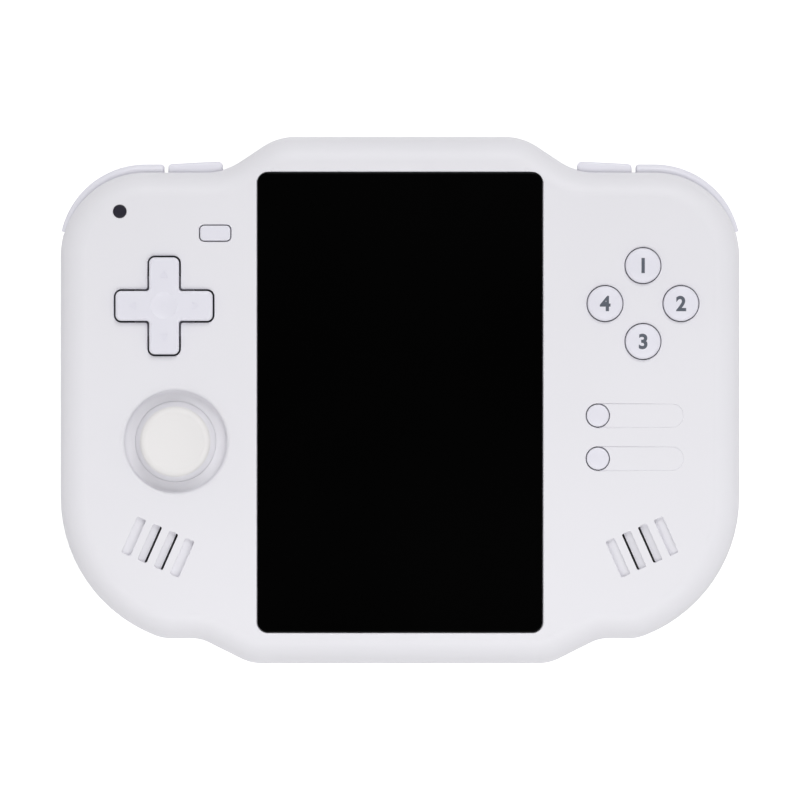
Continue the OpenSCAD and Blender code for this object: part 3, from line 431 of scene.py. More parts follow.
def roughen(material, value, low, high):
    tree = material.node_tree
    span = tree.nodes.new("ShaderNodeMapRange")
    span.inputs["To Min"].default_value = low
    span.inputs["To Max"].default_value = high
    tree.links.new(value, span.inputs["Value"])
    tree.links.new(span.outputs["Result"], tree.nodes["Principled BSDF"].inputs["Roughness"])


def emboss(material, value, depth, strength=0.5):
    tree = material.node_tree
    bump = tree.nodes.new("ShaderNodeBump")
    bump.inputs["Distance"].default_value = depth
    bump.inputs["Strength"].default_value = strength
    tree.links.new(value, bump.inputs["Height"])
    tree.links.new(bump.outputs["Normal"], tree.nodes["Principled BSDF"].inputs["Normal"])


def moulded_plastic(name, base, low=0.42, high=0.52, grain=3200.0, depth=0.006 * MM, specular=0.4):
    """Plastic from a fine-textured mould: faint drift in tone, fine grain in the surface"""
    known = bpy.data.materials.get(name)
    if known:
        return known
    material = finish(name, base, (low + high) / 2, specular=specular)
    shade(material, noise(material, 35.0), base, 0.008)
    roughen(material, noise(material, 220.0, 4.0), low, high)
    emboss(material, noise(material, grain, 3.0), depth)
    return material


def shell_plastic():
    return moulded_plastic("shell_plastic", colours().shell)


def key_plastic():
    return moulded_plastic("key_plastic", colours().key, 0.34, 0.42, 4200.0, 0.003 * MM)


def shoulder_plastic():
    return moulded_plastic("shoulder_plastic", colours().shoulder, 0.36, 0.46, 3600.0, 0.004 * MM)


def cap_rubber():
    return moulded_plastic("cap_rubber", colours().cap, 0.55, 0.68, 2400.0, 0.008 * MM, 0.3)


def soft_rubber(name, base):
    known = bpy.data.materials.get(name)
    return known or moulded_plastic(name, base, 0.62, 0.8, 1800.0, 0.012 * MM, 0.3)


def printed_ink():
    return moulded_plastic("printed_ink", colours().ink, 0.4, 0.55, 5200.0, 0.002 * MM)


def black_glass():
    material = finish("black_glass", colours().glass, 0.05, specular=0.06)
    shade(material, noise(material, 18.0), colours().glass, 0.25)
    roughen(material, noise(material, 60.0, 4.0), 0.03, 0.08)
    return material


def smoked_lens():
    material = finish("smoked_lens", colours().lens, 0.35, specular=0.2)
    shade(material, noise(material, 900.0), colours().lens, 0.06)
    roughen(material, noise(material, 400.0), 0.3, 0.4)
    return material


def drawn_steel(name, base, low=0.22, high=0.38):
    """Metal with fine drawing marks along one direction"""
    known = bpy.data.materials.get(name)
    if known:
        return known
    material = finish(name, base, 0.3, metallic=1.0)
    tree = material.node_tree
    marks = noise(material, 900.0, 4.0)
    stretch = tree.nodes.new("ShaderNodeMapping")
    stretch.inputs["Scale"].default_value = (1.0, 0.08, 1.0)
    tree.links.new(tree.nodes["Texture Coordinate"].outputs["Object"], stretch.inputs["Vector"])
    tree.links.new(stretch.outputs["Vector"], marks.node.inputs["Vector"])
    roughen(material, marks, low, high)
    shade(material, noise(material, 120.0), base, 0.04)
    emboss(material, marks, 0.002 * MM, 0.3)
    return material


def circuit_board():
    """Solder mask with copper tracks showing through as a square pattern"""
    material = finish("circuit_board", (0.012, 0.09, 0.045), 0.35)
    tree = material.node_tree
    place = tree.nodes.new("ShaderNodeTexCoord")
    tracks = tree.nodes.new("ShaderNodeTexBrick")
    tracks.inputs["Scale"].default_value = 180.0
    tracks.inputs["Mortar Size"].default_value = 0.06
    tracks.inputs["Color1"].default_value = (0.010, 0.085, 0.042, 1)
    tracks.inputs["Color2"].default_value = (0.014, 0.100, 0.050, 1)
    tracks.inputs["Mortar"].default_value = (0.030, 0.170, 0.085, 1)
    tree.links.new(place.outputs["Object"], tracks.inputs["Vector"])
    tree.links.new(tracks.outputs["Color"], tree.nodes["Principled BSDF"].inputs["Base Color"])
    emboss(material, tracks.outputs["Fac"], 0.02 * MM)
    return material


def woven_mesh():
    """Fine cloth behind the sound slots"""
    material = finish("woven_mesh", (0.012, 0.012, 0.014), 0.8)
    tree = material.node_tree
    place = tree.nodes.new("ShaderNodeTexCoord")
    threads = tree.nodes.new("ShaderNodeTexChecker")
    threads.inputs["Scale"].default_value = 4000.0
    threads.inputs["Color1"].default_value = (0.008, 0.008, 0.009, 1)
    threads.inputs["Color2"].default_value = (0.022, 0.022, 0.025, 1)
    tree.links.new(place.outputs["Object"], threads.inputs["Vector"])
    tree.links.new(threads.outputs["Color"], tree.nodes["Principled BSDF"].inputs["Base Color"])
    emboss(material, threads.outputs["Fac"], 0.05 * MM)
    return material


# Shells

def shell_blank(name, z_face, edge):
    """Half of the body as a hollow shell that is open at the seam"""
    s = sizes()
    depth = z_face - s.z_seam
    up = math.copysign(1, depth)
    piece = block(name, body_corners(), s.z_seam, z_face)
    round_edges(edge, 18, at_level(z_face))
    round_edges(s.seam_edge, 2, at_level(s.z_seam))
    pick("FACE", at_level(s.z_seam))
    bpy.ops.mesh.inset(thickness=s.wall - s.seam_edge, depth=0)
    bpy.ops.mesh.extrude_region_move(TRANSFORM_OT_translate={"value": (0, 0, depth - up * s.wall)})
    round_edges(edge - s.wall, 4, at_level(z_face - up * s.wall))
    return piece


def soften_rim(piece, low, high, radius, on_face, segments=3):
    """Rounds the sharp rim that a cut left on an outside face, inside a box"""
    edit(piece)

    def rim(e):
        if len(e.link_faces) != 2 or e.calc_face_angle() < SHARP:
            return False
        inside = all(low[i] - MM / 2 < v.co[i] < high[i] + MM / 2 for v in e.verts for i in range(3))
        return inside and all(on_face(v.co) for v in e.verts)

    round_edges(radius, segments, rim)
    only(piece)


def box_of(piece):
    only(piece)
    points = [v.co for v in piece.data.vertices]
    return [min(p[i] for p in points) for i in range(3)], [max(p[i] for p in points) for i in range(3)]


def open_front(piece, tool, radius=0.0, segments=3):
    """Cuts an opening in the front face and softens its rim"""
    low, high = box_of(tool)
    cut(piece, tool)
    if radius:
        soften_rim(piece, low, high, radius, lambda p: abs(p.z - Z_FRONT) < TINY, segments)


def add_post(piece, x, y, radius, z0, z1):
    """Joins an upright round post to a piece"""
    cut(piece, lathe("post", [(0, z0), (radius, z0), (radius, z1), (0, z1)], Vector((x, y, 0)), 48), "UNION")


def drill(piece, x, y, radius, z0, z1):
    cut(piece, lathe("drill", [(0, z0), (radius, z0), (radius, z1), (0, z1)], Vector((x, y, 0)), 64))


def box_tool(name, low, high):
    middle = [(a + b) / 2 for a, b in zip(low, high)]
    piece = start(name, "cube", size=1, location=middle, scale=[b - a for a, b in zip(low, high)])
    only(piece)
    return piece


def ring_solid(name, centre, first, sweep, near, far, z0, z1, outer=0.0, steps=32):
    """A bar of rectangular section swept round an upright axis, angles in degrees"""
    a = math.radians(first)
    reach = Vector((math.cos(a), math.sin(a), 0))
    section = [(near, z0, 0), (far, z0, outer), (far, z1, outer), (near, z1, 0)]
    piece = drawn_face(name, rounded([(centre + reach * r + Vector((0, 0, z)), soft) for r, z, soft in section]))
    bpy.ops.mesh.select_all(action="SELECT")
    bpy.ops.mesh.spin(steps=steps, angle=-math.radians(sweep), center=centre, axis=(0, 0, 1))
    bpy.ops.mesh.select_all(action="SELECT")
    bpy.ops.mesh.normals_make_consistent(inside=False)
    return piece


def bumper_centre():
    s = sizes()
    return Vector((SIDE_X - s.upper_corner, BUMPER_HIGH.y - s.bumper_r, 0))


def shoulder_heights():
    s = sizes()
    middle = s.z_seam + 0.3 * MM
    return middle - s.shoulder_h / 2, middle + s.shoulder_h / 2


def shoulder_tool():
    """Tool for the openings of the bumpers and triggers on both sides"""
    s = sizes()
    z0, z1 = shoulder_heights()
    z0, z1 = z0 - 0.3 * MM, z1 + 0.3 * MM
    centre = bumper_centre()
    tool = ring_solid("shoulder_tool", centre, 12.3, 78.0, s.bumper_r - 6.6 * MM, s.bumper_r + 2.4 * MM, z0, z1)
    low = (TRIGGER_LOW.x - s.key_gap, TRIGGER_LOW.y - 1 * MM, z0)
    cut(tool, box_tool("trigger_tool", low, (centre.x, TRIGGER_LOW.y + 8 * MM, z1)), "UNION")
    return join([tool, copy_of(tool, "other_side", flip=True)])


def edge_tool():
    """Tool for the key openings in the top edge and the port openings in the bottom edge"""
    s = sizes()
    gap = 2 * s.key_gap
    deep = 8 * MM
    openings = [
        (rectangle(s.power_w + gap, s.key_h + gap, s.key_r + s.key_gap), s.power_x, TOP_Y - 5 * MM, s.z_seam),
        (rectangle(s.volume_w + gap, s.key_h + gap, s.key_r + s.key_gap), s.volume_x, TOP_Y - 5 * MM, s.z_seam),
        (rectangle(9.44 * MM, 3.7 * MM, 1.6 * MM), 0.0, -TOP_Y - 3 * MM, s.z_seam),
        (rectangle(12.2 * MM, 1.7 * MM, 0.4 * MM), -s.port_x, -TOP_Y - 3 * MM, 9.85 * MM),
        (rectangle(6.4 * MM, 6.4 * MM, 3.199 * MM), s.port_x, -TOP_Y - 3 * MM, 8.3 * MM),
    ]
    tools = []
    for corners, x, y, z in openings:
        tools.append(stand_up(block("edge_opening", corners, 0.0, deep), (x, y, z)))
    return join(tools)


def open_edges(piece):
    """Cuts what both shells share: shoulder openings, edge keys and ports"""
    cut(piece, shoulder_tool())
    cut(piece, edge_tool())


class FrontShell(bpy.types.Operator):
    """Models the front shell with its screen pocket, stick bowl, key openings and sound slots"""

    bl_idname = "handheld.front_shell"
    bl_label = "Front shell"

    def execute(self, context):
        s = sizes()
        z_inner = Z_FRONT - s.wall
        shell = shell_blank("front_shell_skin", Z_FRONT, s.front_edge)
        only(shell)
        glass = ((GLASS_LOW + GLASS_HIGH) / 2).xy
        glass_w, glass_h = (GLASS_HIGH - GLASS_LOW).xy
        ledge = GLASS_LOW.z - 0.4 * MM
        frame_wide = 2 * (s.glass_gap + 1.2 * MM)
        rim = block("ledge", rectangle(glass_w + frame_wide, glass_h + frame_wide, 3 * MM, *glass),
                    z_inner - 1.1 * MM, z_inner + 0.5 * MM)
        cut(shell, rim, "UNION")
        well = Vector((*((CAP_LOW + CAP_HIGH) / 2).xy, 0))
        add_post(shell, well.x, well.y, s.stick_well + 2 * MM, Z_FRONT - 3.8 * MM, z_inner + 0.5 * MM)
        for x, y in screw_spots():
            add_post(shell, x, y, 2.6 * MM, Z_FRONT - 6 * MM, z_inner + 0.5 * MM)

        # Screen pocket and window
        pocket = rectangle(glass_w + 2 * s.glass_gap, glass_h + 2 * s.glass_gap, s.glass_r + s.glass_gap, *glass)
        open_front(shell, block("pocket", pocket, ledge, Z_FRONT + MM), 0.3 * MM, 4)
        cut(shell, block("window", rectangle(glass_w - 3.8 * MM, glass_h - 3.8 * MM, MM, *glass),
                         z_inner - 3 * MM, Z_FRONT + MM))

        # Bowl round the thumbstick
        pivot = Z_FRONT - s.stick_pivot
        lowest, bowl_z = Z_FRONT - 4.8 * MM, Z_FRONT - 2.1 * MM
        rim_r, ball = 0.8 * MM, s.stick_dome + 0.08 * MM
        first, last = [math.degrees(math.asin((z - pivot) / ball)) for z in (lowest, bowl_z)]
        profile = [(0, lowest)] + arc(0, pivot, ball, first, last, 8)
        bowl_r = profile[-1][0]
        for i in range(1, 25):
            t = math.radians(90 * i / 24)
            profile.append((bowl_r + (s.stick_well - bowl_r) * math.sin(t),
                            Z_FRONT - rim_r - (Z_FRONT - rim_r - bowl_z) * math.cos(t)))
        profile += arc(s.stick_well + rim_r, Z_FRONT - rim_r, rim_r, 180, 90, 10)[1:]
        profile += [(s.stick_well + rim_r, Z_FRONT + MM), (0, Z_FRONT + MM)]
        cut(shell, lathe("bowl", profile, well, 128))

        # Key openings
        pad = (PAD_LOW + PAD_HIGH) / 2
        wide = 2 * s.pad_gap
        arms = cross(s.pad_span + wide, s.pad_arm + wide, 1.2 * MM + s.pad_gap, 0.5 * MM, pad.x, pad.y)
        open_front(shell, block("pad_opening", arms, z_inner - MM, Z_FRONT + MM), 0.2 * MM)
        for x, y in menu_spots():
            label = rectangle(s.label_length + 5 * MM, 5 * MM, 2.45 * MM, x + s.label_length / 2, y)
            open_front(shell, block("label", label, Z_FRONT - 0.2 * MM, Z_FRONT + MM), 0.1 * MM)
        round_holes = [(x, y, s.face_button / 2 + s.key_gap, 0.12 * MM) for x, y in face_spots()]
        round_holes += [(x, y, s.menu_button / 2 + s.key_gap, 0.12 * MM) for x, y in menu_spots()]
        lens = (LENS_LOW + LENS_HIGH) / 2
        round_holes.append((lens.x, lens.y, (LENS_HIGH.x - LENS_LOW.x) / 2 + 0.05 * MM, 0.15 * MM))
        for x, y, radius, soft in round_holes:
            edges = [(0, z_inner - 3 * MM), (radius, z_inner - 3 * MM), (radius, Z_FRONT + MM), (0, Z_FRONT + MM)]
            opening = lathe("round_opening", edges, Vector((x, y, 0)), 96)
            low, high = box_of(opening)
            cut(shell, opening)
            soften_rim(shell, low, high, soft, lambda p: Z_FRONT - 0.3 * MM < p.z < Z_FRONT + TINY)
        home = (HOME_LOW + HOME_HIGH) / 2
        slot = rectangle(s.home_w + 2 * s.key_gap, s.home_h + 2 * s.key_gap, s.home_r + s.key_gap, home.x, home.y)
        open_front(shell, block("home_opening", slot, z_inner - MM, Z_FRONT + MM), 0.2 * MM)

        open_front(shell, sound_slots(), 0.12 * MM, 2)
        open_edges(shell)
        hand_over(shell, "housing", shell_plastic(), "front_shell")
        return {"FINISHED"}


def sound_slot(name, depth, slit):
    """Tool for one sound slot at the origin: a floor that slopes down to the side of the screen, with a slit"""
    s = sizes()
    w, h, lip, inset = s.slot_width, s.slot_length, 0.8 * MM, 0.02 * MM
    tool = block(name, rectangle(w, h, 0.35 * MM), Z_FRONT - 3 * MM, Z_FRONT + MM)
    floor = Vector((w, 0, lip - depth))
    bpy.ops.mesh.select_all(action="SELECT")
    bpy.ops.mesh.bisect(plane_co=(-w / 2, 0, Z_FRONT - lip), plane_no=floor.cross(Vector((0, 1, 0))),
                        use_fill=True, clear_inner=True, threshold=TINY / 10)
    if slit:
        x, y, r = w / 2 - inset, h / 2 - inset, 0.35 * MM - inset
        near = x - s.slit_w
        cut(tool, block("slit", [(near, -y, 0), (x, -y, r), (x, y, r), (near, y, 0)],
                        Z_FRONT - s.wall - MM, Z_FRONT - lip), "UNION")
    only(tool)
    return tool


def sound_slots():
    """Tool for the sound slots of both sides"""
    s = sizes()
    lean = math.radians(-24)
    rows = []
    for i in range(4):
        middle = i in (1, 2)
        slot = sound_slot("sound_slot", (1.8 if middle else 1.4) * MM, middle)
        along = (i - 1.5) * s.slot_pitch
        place = (-s.speaker_x + along * math.cos(lean), s.speaker_y + along * math.sin(lean), 0)
        rows.append(copy_of(slot, "left_slot", place, turn=lean))
        rows.append(copy_of(rows[-1], "right_slot", flip=True))
        bpy.data.objects.remove(slot)
    return join(rows)


def screw_spots():
    half = [(66.3, 6.0), (36.0, -45.55), (33.0, 44.4)]
    return [(side * x * MM, y * MM) for x, y in half for side in (1, -1)]


def foot_spots():
    return [(side * x * MM, y * MM) for x, y in [(50.0, 30.0), (46.0, -34.0)] for side in (1, -1)]


def face_spots():
    """Centres of the face buttons: top, right, bottom, left"""
    return [((low + high) / 2).xy for low, high in map(tab_free_box, ("top", "right", "bottom", "left"))]


def tab_free_box(place):
    """Box of a face button's round part: the tab on its flange points to the middle of the four"""
    low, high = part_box(f"face_button_{place}")
    width = min(high.x - low.x, high.y - low.y)
    if place == "top":
        low.y = high.y - width
    if place == "bottom":
        high.y = low.y + width
    if place == "right":
        low.x = high.x - width
    if place == "left":
        high.x = low.x + width
    return low, high


def menu_spots():
    boxes = [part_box(f"menu_button_{place}") for place in ("upper", "lower")]
    return [((low + high) / 2).xy for low, high in boxes]


class RearShell(bpy.types.Operator):
    """Models the rear shell with its screw recesses, foot recesses and edge openings"""

    bl_idname = "handheld.rear_shell"
    bl_label = "Rear shell"

    def execute(self, context):
        s = sizes()
        shell = shell_blank("rear_shell_skin", s.z_back, s.rear_edge)
        only(shell)
        seat = s.z_back + 3 * MM
        for x, y in screw_spots():
            add_post(shell, x, y, 3.2 * MM, s.z_back + 1.2 * MM, s.z_seam + 1.6 * MM)
        for x, y in screw_spots():
            drill(shell, x, y, 2.2 * MM, s.z_back - MM, seat)
            drill(shell, x, y, 1.15 * MM, seat - 0.5 * MM, s.z_seam + 3 * MM)
        for x, y in foot_spots():
            drill(shell, x, y, 4.6 * MM, s.z_back - MM, s.z_back + 0.4 * MM)
        for x, y in screw_spots() + foot_spots():
            low, high = (x - 5 * MM, y - 5 * MM, 0), (x + 5 * MM, y + 5 * MM, MM)
            soften_rim(shell, low, high, 0.15 * MM, lambda p: abs(p.z - s.z_back) < TINY, 2)
        open_edges(shell)
        hand_over(shell, "housing", shell_plastic(), "rear_shell")
        return {"FINISHED"}


# Screen

class Screen(bpy.types.Operator):
    """Models the cover glass"""

    bl_idname = "handheld.screen"
    bl_label = "Cover glass"

    def execute(self, context):
        middle = (GLASS_LOW + GLASS_HIGH) / 2
        size = GLASS_HIGH - GLASS_LOW
        glass = block("cover_glass_pane", rectangle(size.x, size.y, sizes().glass_r, middle.x, middle.y),
                      GLASS_LOW.z, GLASS_HIGH.z)
        round_edges(0.25 * MM, 4, at_level(GLASS_HIGH.z))
        hand_over(glass, "housing", black_glass(), "cover_glass")
        return {"FINISHED"}


# Keys on the front

class DirectionPad(bpy.types.Operator):
    """Models the cross-shaped direction pad with its finger dish and arrow marks"""

    bl_idname = "handheld.direction_pad"
    bl_label = "Direction pad"

    def execute(self, context):
        s = sizes()
        middle = (PAD_LOW + PAD_HIGH) / 2
        top = PAD_HIGH.z
        pad = block("direction_pad_cap", cross(s.pad_span, s.pad_arm, 1.2 * MM, 0.6 * MM, middle.x, middle.y),
                    PAD_LOW.z, top)
        round_edges(0.6 * MM, 6, at_level(top))
        only(pad)
        add_post(pad, middle.x, middle.y, 7.2 * MM, PAD_LOW.z, PAD_LOW.z + 0.8 * MM)
        dish_r, dish_depth = 12.0 * MM, 0.35 * MM
        profile = arc(0, top + dish_r - dish_depth, dish_r, -90, -70, 24) + [(0, top + dish_r)]
        cut(pad, lathe("dish", profile, middle, 96))
        for i in range(4):
            turn = Vector((math.cos(i * math.pi / 2), math.sin(i * math.pi / 2)))
            across = Vector((-turn.y, turn.x))
            base = middle.xy + turn * (s.pad_span / 2 - 4.3 * MM)
            points = [base - across * 0.85 * MM, base + turn * 1.45 * MM, base + across * 0.85 * MM]
            mark = block("arrow", [(p.x, p.y, 0.1 * MM) for p in points], top - 0.15 * MM, top + MM)
            cut(pad, mark)
        hand_over(pad, "pad", key_plastic(), "direction_pad")
        return {"FINISHED"}


def round_button(name, diameter, low, high, edge, crown, x, y):
    """A turned button with a flange, a straight side, a rounded edge and a crowned top"""
    r = diameter / 2
    flange = r + (0.7 if diameter > 6 * MM else 0.8) * MM
    flange_top = low + 0.9 * MM
    profile = [(0, low), (flange, low), (flange, flange_top), (r, flange_top)]
    profile += arc(r - edge, high - crown - edge, edge, 0, 90, 8)
    profile += [((r - edge) * k / 10, high - crown * (k / 10) ** 2) for k in range(9, -1, -1)]
    return lathe(name, profile, Vector((x, y, 0)), 96)


class FaceButtons(bpy.types.Operator):
    """Models the four face buttons and the numerals printed on them"""

    bl_idname = "handheld.face_buttons"
    bl_label = "Face buttons"

    def execute(self, context):
        s = sizes()
        low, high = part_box("face_button_top")
        first = face_spots()[0]
        model = round_button("face_button", s.face_button, low.z, high.z, 0.6 * MM, 0.35 * MM, *first)
        only(model)
        for i, place in enumerate(("top", "right", "bottom", "left")):
            spot = face_spots()[i]
            step = (*(spot - first), 0)
            button = copy_of(model, f"face_button_{place}_cap", step)
            skin = copy_of(model, "ink_skin", (step[0], step[1], 0.015 * MM))
            numeral = self.numeral(str(i + 1), f"face_numeral_{i + 1}", spot, high.z)
            cut(numeral, skin, "INTERSECT", True)
            body = f"face_{place}"
            hand_over(button, body, key_plastic(), f"face_button_{place}")
            hand_over(numeral, body, printed_ink())
        bpy.data.objects.remove(model)
        return {"FINISHED"}

    def numeral(self, text, name, spot, top):
        """A bold figure as a block that reaches through the top of its button"""
        bpy.ops.object.select_all(action="DESELECT")
        bpy.ops.object.text_add()
        figure = bpy.context.object
        figure.name = name
        figure.data.body = text
        figure.data.size = sizes().numeral
        figure.data.offset = 0.14 * MM
        figure.data.resolution_u = 8
        figure.data.extrude = 0.6 * MM
        figure.data.align_x = "CENTER"
        bpy.ops.object.convert(target="MESH")
        figure = bpy.context.object
        low, high = box_of(figure)
        figure.location = (spot.x - (low[0] + high[0]) / 2, spot.y - (low[1] + high[1]) / 2, top)
        bpy.ops.object.transform_apply()
        edit(figure)
        bpy.ops.mesh.select_all(action="SELECT")
        bpy.ops.mesh.remove_doubles(threshold=TINY)
        bpy.ops.mesh.normals_make_consistent(inside=False)
        only(figure)
        return figure


class MenuButtons(bpy.types.Operator):
    """Models the two small menu buttons"""

    bl_idname = "handheld.menu_buttons"
    bl_label = "Menu buttons"

    def execute(self, context):
        low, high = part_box("menu_button_upper")
        spots, wide = menu_spots(), sizes().menu_button
        button = round_button("menu_button_upper_cap", wide, low.z, high.z, 0.4 * MM, 0.2 * MM, *spots[0])
        twin = copy_of(button, "menu_button_lower_cap", (*(spots[1] - spots[0]), 0))
        hand_over(button, "menu_upper", key_plastic(), "menu_button_upper")
        hand_over(twin, "menu_lower", key_plastic(), "menu_button_lower")
        return {"FINISHED"}


class HomeButton(bpy.types.Operator):
    """Models the small oblong home button"""

    bl_idname = "handheld.home_button"
    bl_label = "Home button"

    def execute(self, context):
        s = sizes()
        middle = (HOME_LOW + HOME_HIGH) / 2
        flange_z = HOME_LOW.z + 0.5 * MM
        button = block("home_button_cap", rectangle(s.home_w, s.home_h, s.home_r, middle.x, middle.y),
                       flange_z + 0.2 * MM, HOME_HIGH.z)
        round_edges(0.3 * MM, 5, at_level(HOME_HIGH.z))
        only(button)
        flange = rectangle(s.home_w + 1.6 * MM, s.home_h + 1.6 * MM, MM, middle.x, middle.y)
        cut(button, block("home_flange", flange, flange_z, flange_z + 0.9 * MM), "UNION")
        add_post(button, middle.x, middle.y, MM, HOME_LOW.z, flange_z + 0.3 * MM)
        hand_over(button, "home", key_plastic(), "home_button")
        return {"FINISHED"}


# Thumbstick

class Thumbstick(bpy.types.Operator):
    """Models the thumbstick's dished cap and the dome on its shaft"""

    bl_idname = "handheld.thumbstick"
    bl_label = "Thumbstick"

    def execute(self, context):
        s = sizes()
        middle = (CAP_LOW + CAP_HIGH) / 2
        top = CAP_HIGH.z
        radius = (CAP_HIGH.x - CAP_LOW.x) / 2
        under = top - 2.5 * MM
        edge, dish = 1.1 * MM, 0.8 * MM
        profile = [(0, under + 0.4 * MM), (3.4 * MM, under)]
        profile += arc(radius - 0.5 * MM, under + 0.5 * MM, 0.5 * MM, -90, 0, 6)
        profile += arc(radius - edge, top - edge, edge, 0, 100, 14)
        profile += [((radius - edge) * k / 20, top - dish * (1 - (k / 20) ** 2)) for k in range(19, -1, -1)]
        cap = lathe("stick_cap_top", profile, middle, 128)
        hand_over(cap, "stick", cap_rubber(), "stick_cap")

        pivot = Z_FRONT - s.stick_pivot
        dome, thick, shaft = s.stick_dome, 0.8 * MM, 1.4 * MM
        inner = dome - thick
        profile = [(0, pivot - 2.7 * MM), (shaft, pivot - 2.7 * MM)]
        profile += arc(0, pivot, inner, math.degrees(math.acos(shaft / inner)), -4, 40)
        profile += arc(0, pivot, dome, -4, math.degrees(math.acos(1.2 * MM / dome)), 48)
        profile += [(1.2 * MM, pivot + dome + 0.4 * MM), (0, pivot + dome + 0.4 * MM)]
        skirt = lathe("stick_dome", profile, middle, 128)
        hand_over(skirt, "stick", shell_plastic(), "stick_shaft")
        return {"FINISHED"}


# Shoulder and edge keys

class Bumpers(bpy.types.Operator):
    """Models the two curved shoulder bumpers"""

    bl_idname = "handheld.bumpers"
    bl_label = "Bumpers"

    def execute(self, context):
        s = sizes()
        centre = bumper_centre()
        z0, z1 = shoulder_heights()
        near = s.bumper_r - 5.6 * MM
        bar = ring_solid("right_bumper_key", centre, 13.0, 77.0, near, s.bumper_r, z0, z1, 1.2 * MM, 40)
        pick("FACE", lambda f: all(abs(v.co.x - centre.x) < TINY for v in f.verts))
        bpy.ops.mesh.extrude_region_move(TRANSFORM_OT_translate={"value": (-3.9 * MM, 0, 0)})
        bpy.ops.mesh.select_all(action="SELECT")
        bpy.ops.mesh.normals_make_consistent(inside=False)
        end = centre.x - 3.9 * MM
        round_edges(0.5 * MM, 5, lambda e: all(abs(v.co.x - end) < TINY for v in e.verts)
                    and any(v.co.y > centre.y + near + TINY for v in e.verts))
        only(bar)
        reach, gap, deep = 0.6 * MM, 0.3 * MM, 0.7 * MM
        lips = ring_solid("lips", centre, 42.0, 42.0, near + 0.15 * MM, near + deep, z0 - reach - gap, z1 + reach + gap)
        cut(bar, lips, "UNION")
        hinge = centre + Vector((12.3 * MM, 5.4 * MM, 0))
        add_post(bar, hinge.x, hinge.y, 2.2 * MM, z0, z1)
        drill(bar, hinge.x, hinge.y, 1.05 * MM, z0 - MM, z1 + MM)
        twin = copy_of(bar, "left_bumper_key", flip=True)
        hand_over(bar, "right_bumper", shoulder_plastic(), "right_bumper")
        hand_over(twin, "left_bumper", shoulder_plastic(), "left_bumper")
        return {"FINISHED"}


def edge_key(name, width, height, radius, edge, reach, lip):
    """A key drawn upwards at the origin: a rounded bar on a flat flange (width, height, thickness)"""
    key = block(name, rectangle(width, height, radius), 0.0, reach)
    round_edges(edge, 5, at_level(reach))
    only(key)
    cut(key, block("flange", rectangle(lip[0], lip[1], MM), 0.0, lip[2]), "UNION")
    return key


class Triggers(bpy.types.Operator):
    """Models the two shoulder triggers beside the bumpers"""

    bl_idname = "handheld.triggers"
    bl_label = "Triggers"

    def execute(self, context):
        z0, z1 = shoulder_heights()
        x0, x1 = TRIGGER_LOW.x, TRIGGER_HIGH.x
        foot, top, corner = TRIGGER_LOW.y, TRIGGER_LOW.y + sizes().trigger_reach, 0.9 * MM
        lean = (x1 - x0) / 2 * math.tan(math.radians(3))
        sides = [(x0, foot, corner), (x1, foot, corner), (x1, top - lean, corner), (x0, top + lean, corner)]
        key = block("right_trigger_key", sides, z0, z1)
        for z in (z0, z1):
            round_edges(0.5 * MM, 5, at_level(z))
        only(key)
        flange = block("flange", rectangle(x1 - x0, TRIGGER_HIGH.z - TRIGGER_LOW.z, MM), 0.0, 0.7 * MM)
        cut(key, stand_up(flange, ((x0 + x1) / 2, foot, (z0 + z1) / 2)), "UNION")
        twin = copy_of(key, "left_trigger_key", flip=True)
        hand_over(key, "right_trigger", shoulder_plastic(), "right_trigger")
        hand_over(twin, "left_trigger", shoulder_plastic(), "left_trigger")
        return {"FINISHED"}


class EdgeKeys(bpy.types.Operator):
    """Models the power key and the volume rocker on the top edge"""

    bl_idname = "handheld.edge_keys"
    bl_label = "Edge keys"

    def execute(self, context):
        s = sizes()
        for node, width, x in (("power_key", s.power_w, s.power_x), ("volume_rocker", s.volume_w, s.volume_x)):
            low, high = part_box(node)
            foot = TOP_Y - 3.2 * MM
            lip = (width + 1.6 * MM, s.key_h + 1.6 * MM, 0.75 * MM)
            key = edge_key(f"{node}_cap", width, s.key_h, s.key_r, 0.3 * MM, high.y - foot, lip)
            stand_up(key, (x, foot, s.z_seam))
            if node == "volume_rocker":
                add_post(key, x, foot, 0.6 * MM, s.z_seam - 1.5 * MM, s.z_seam + 1.5 * MM)
            hand_over(key, node, shoulder_plastic(), node)
        return {"FINISHED"}


# Small fittings

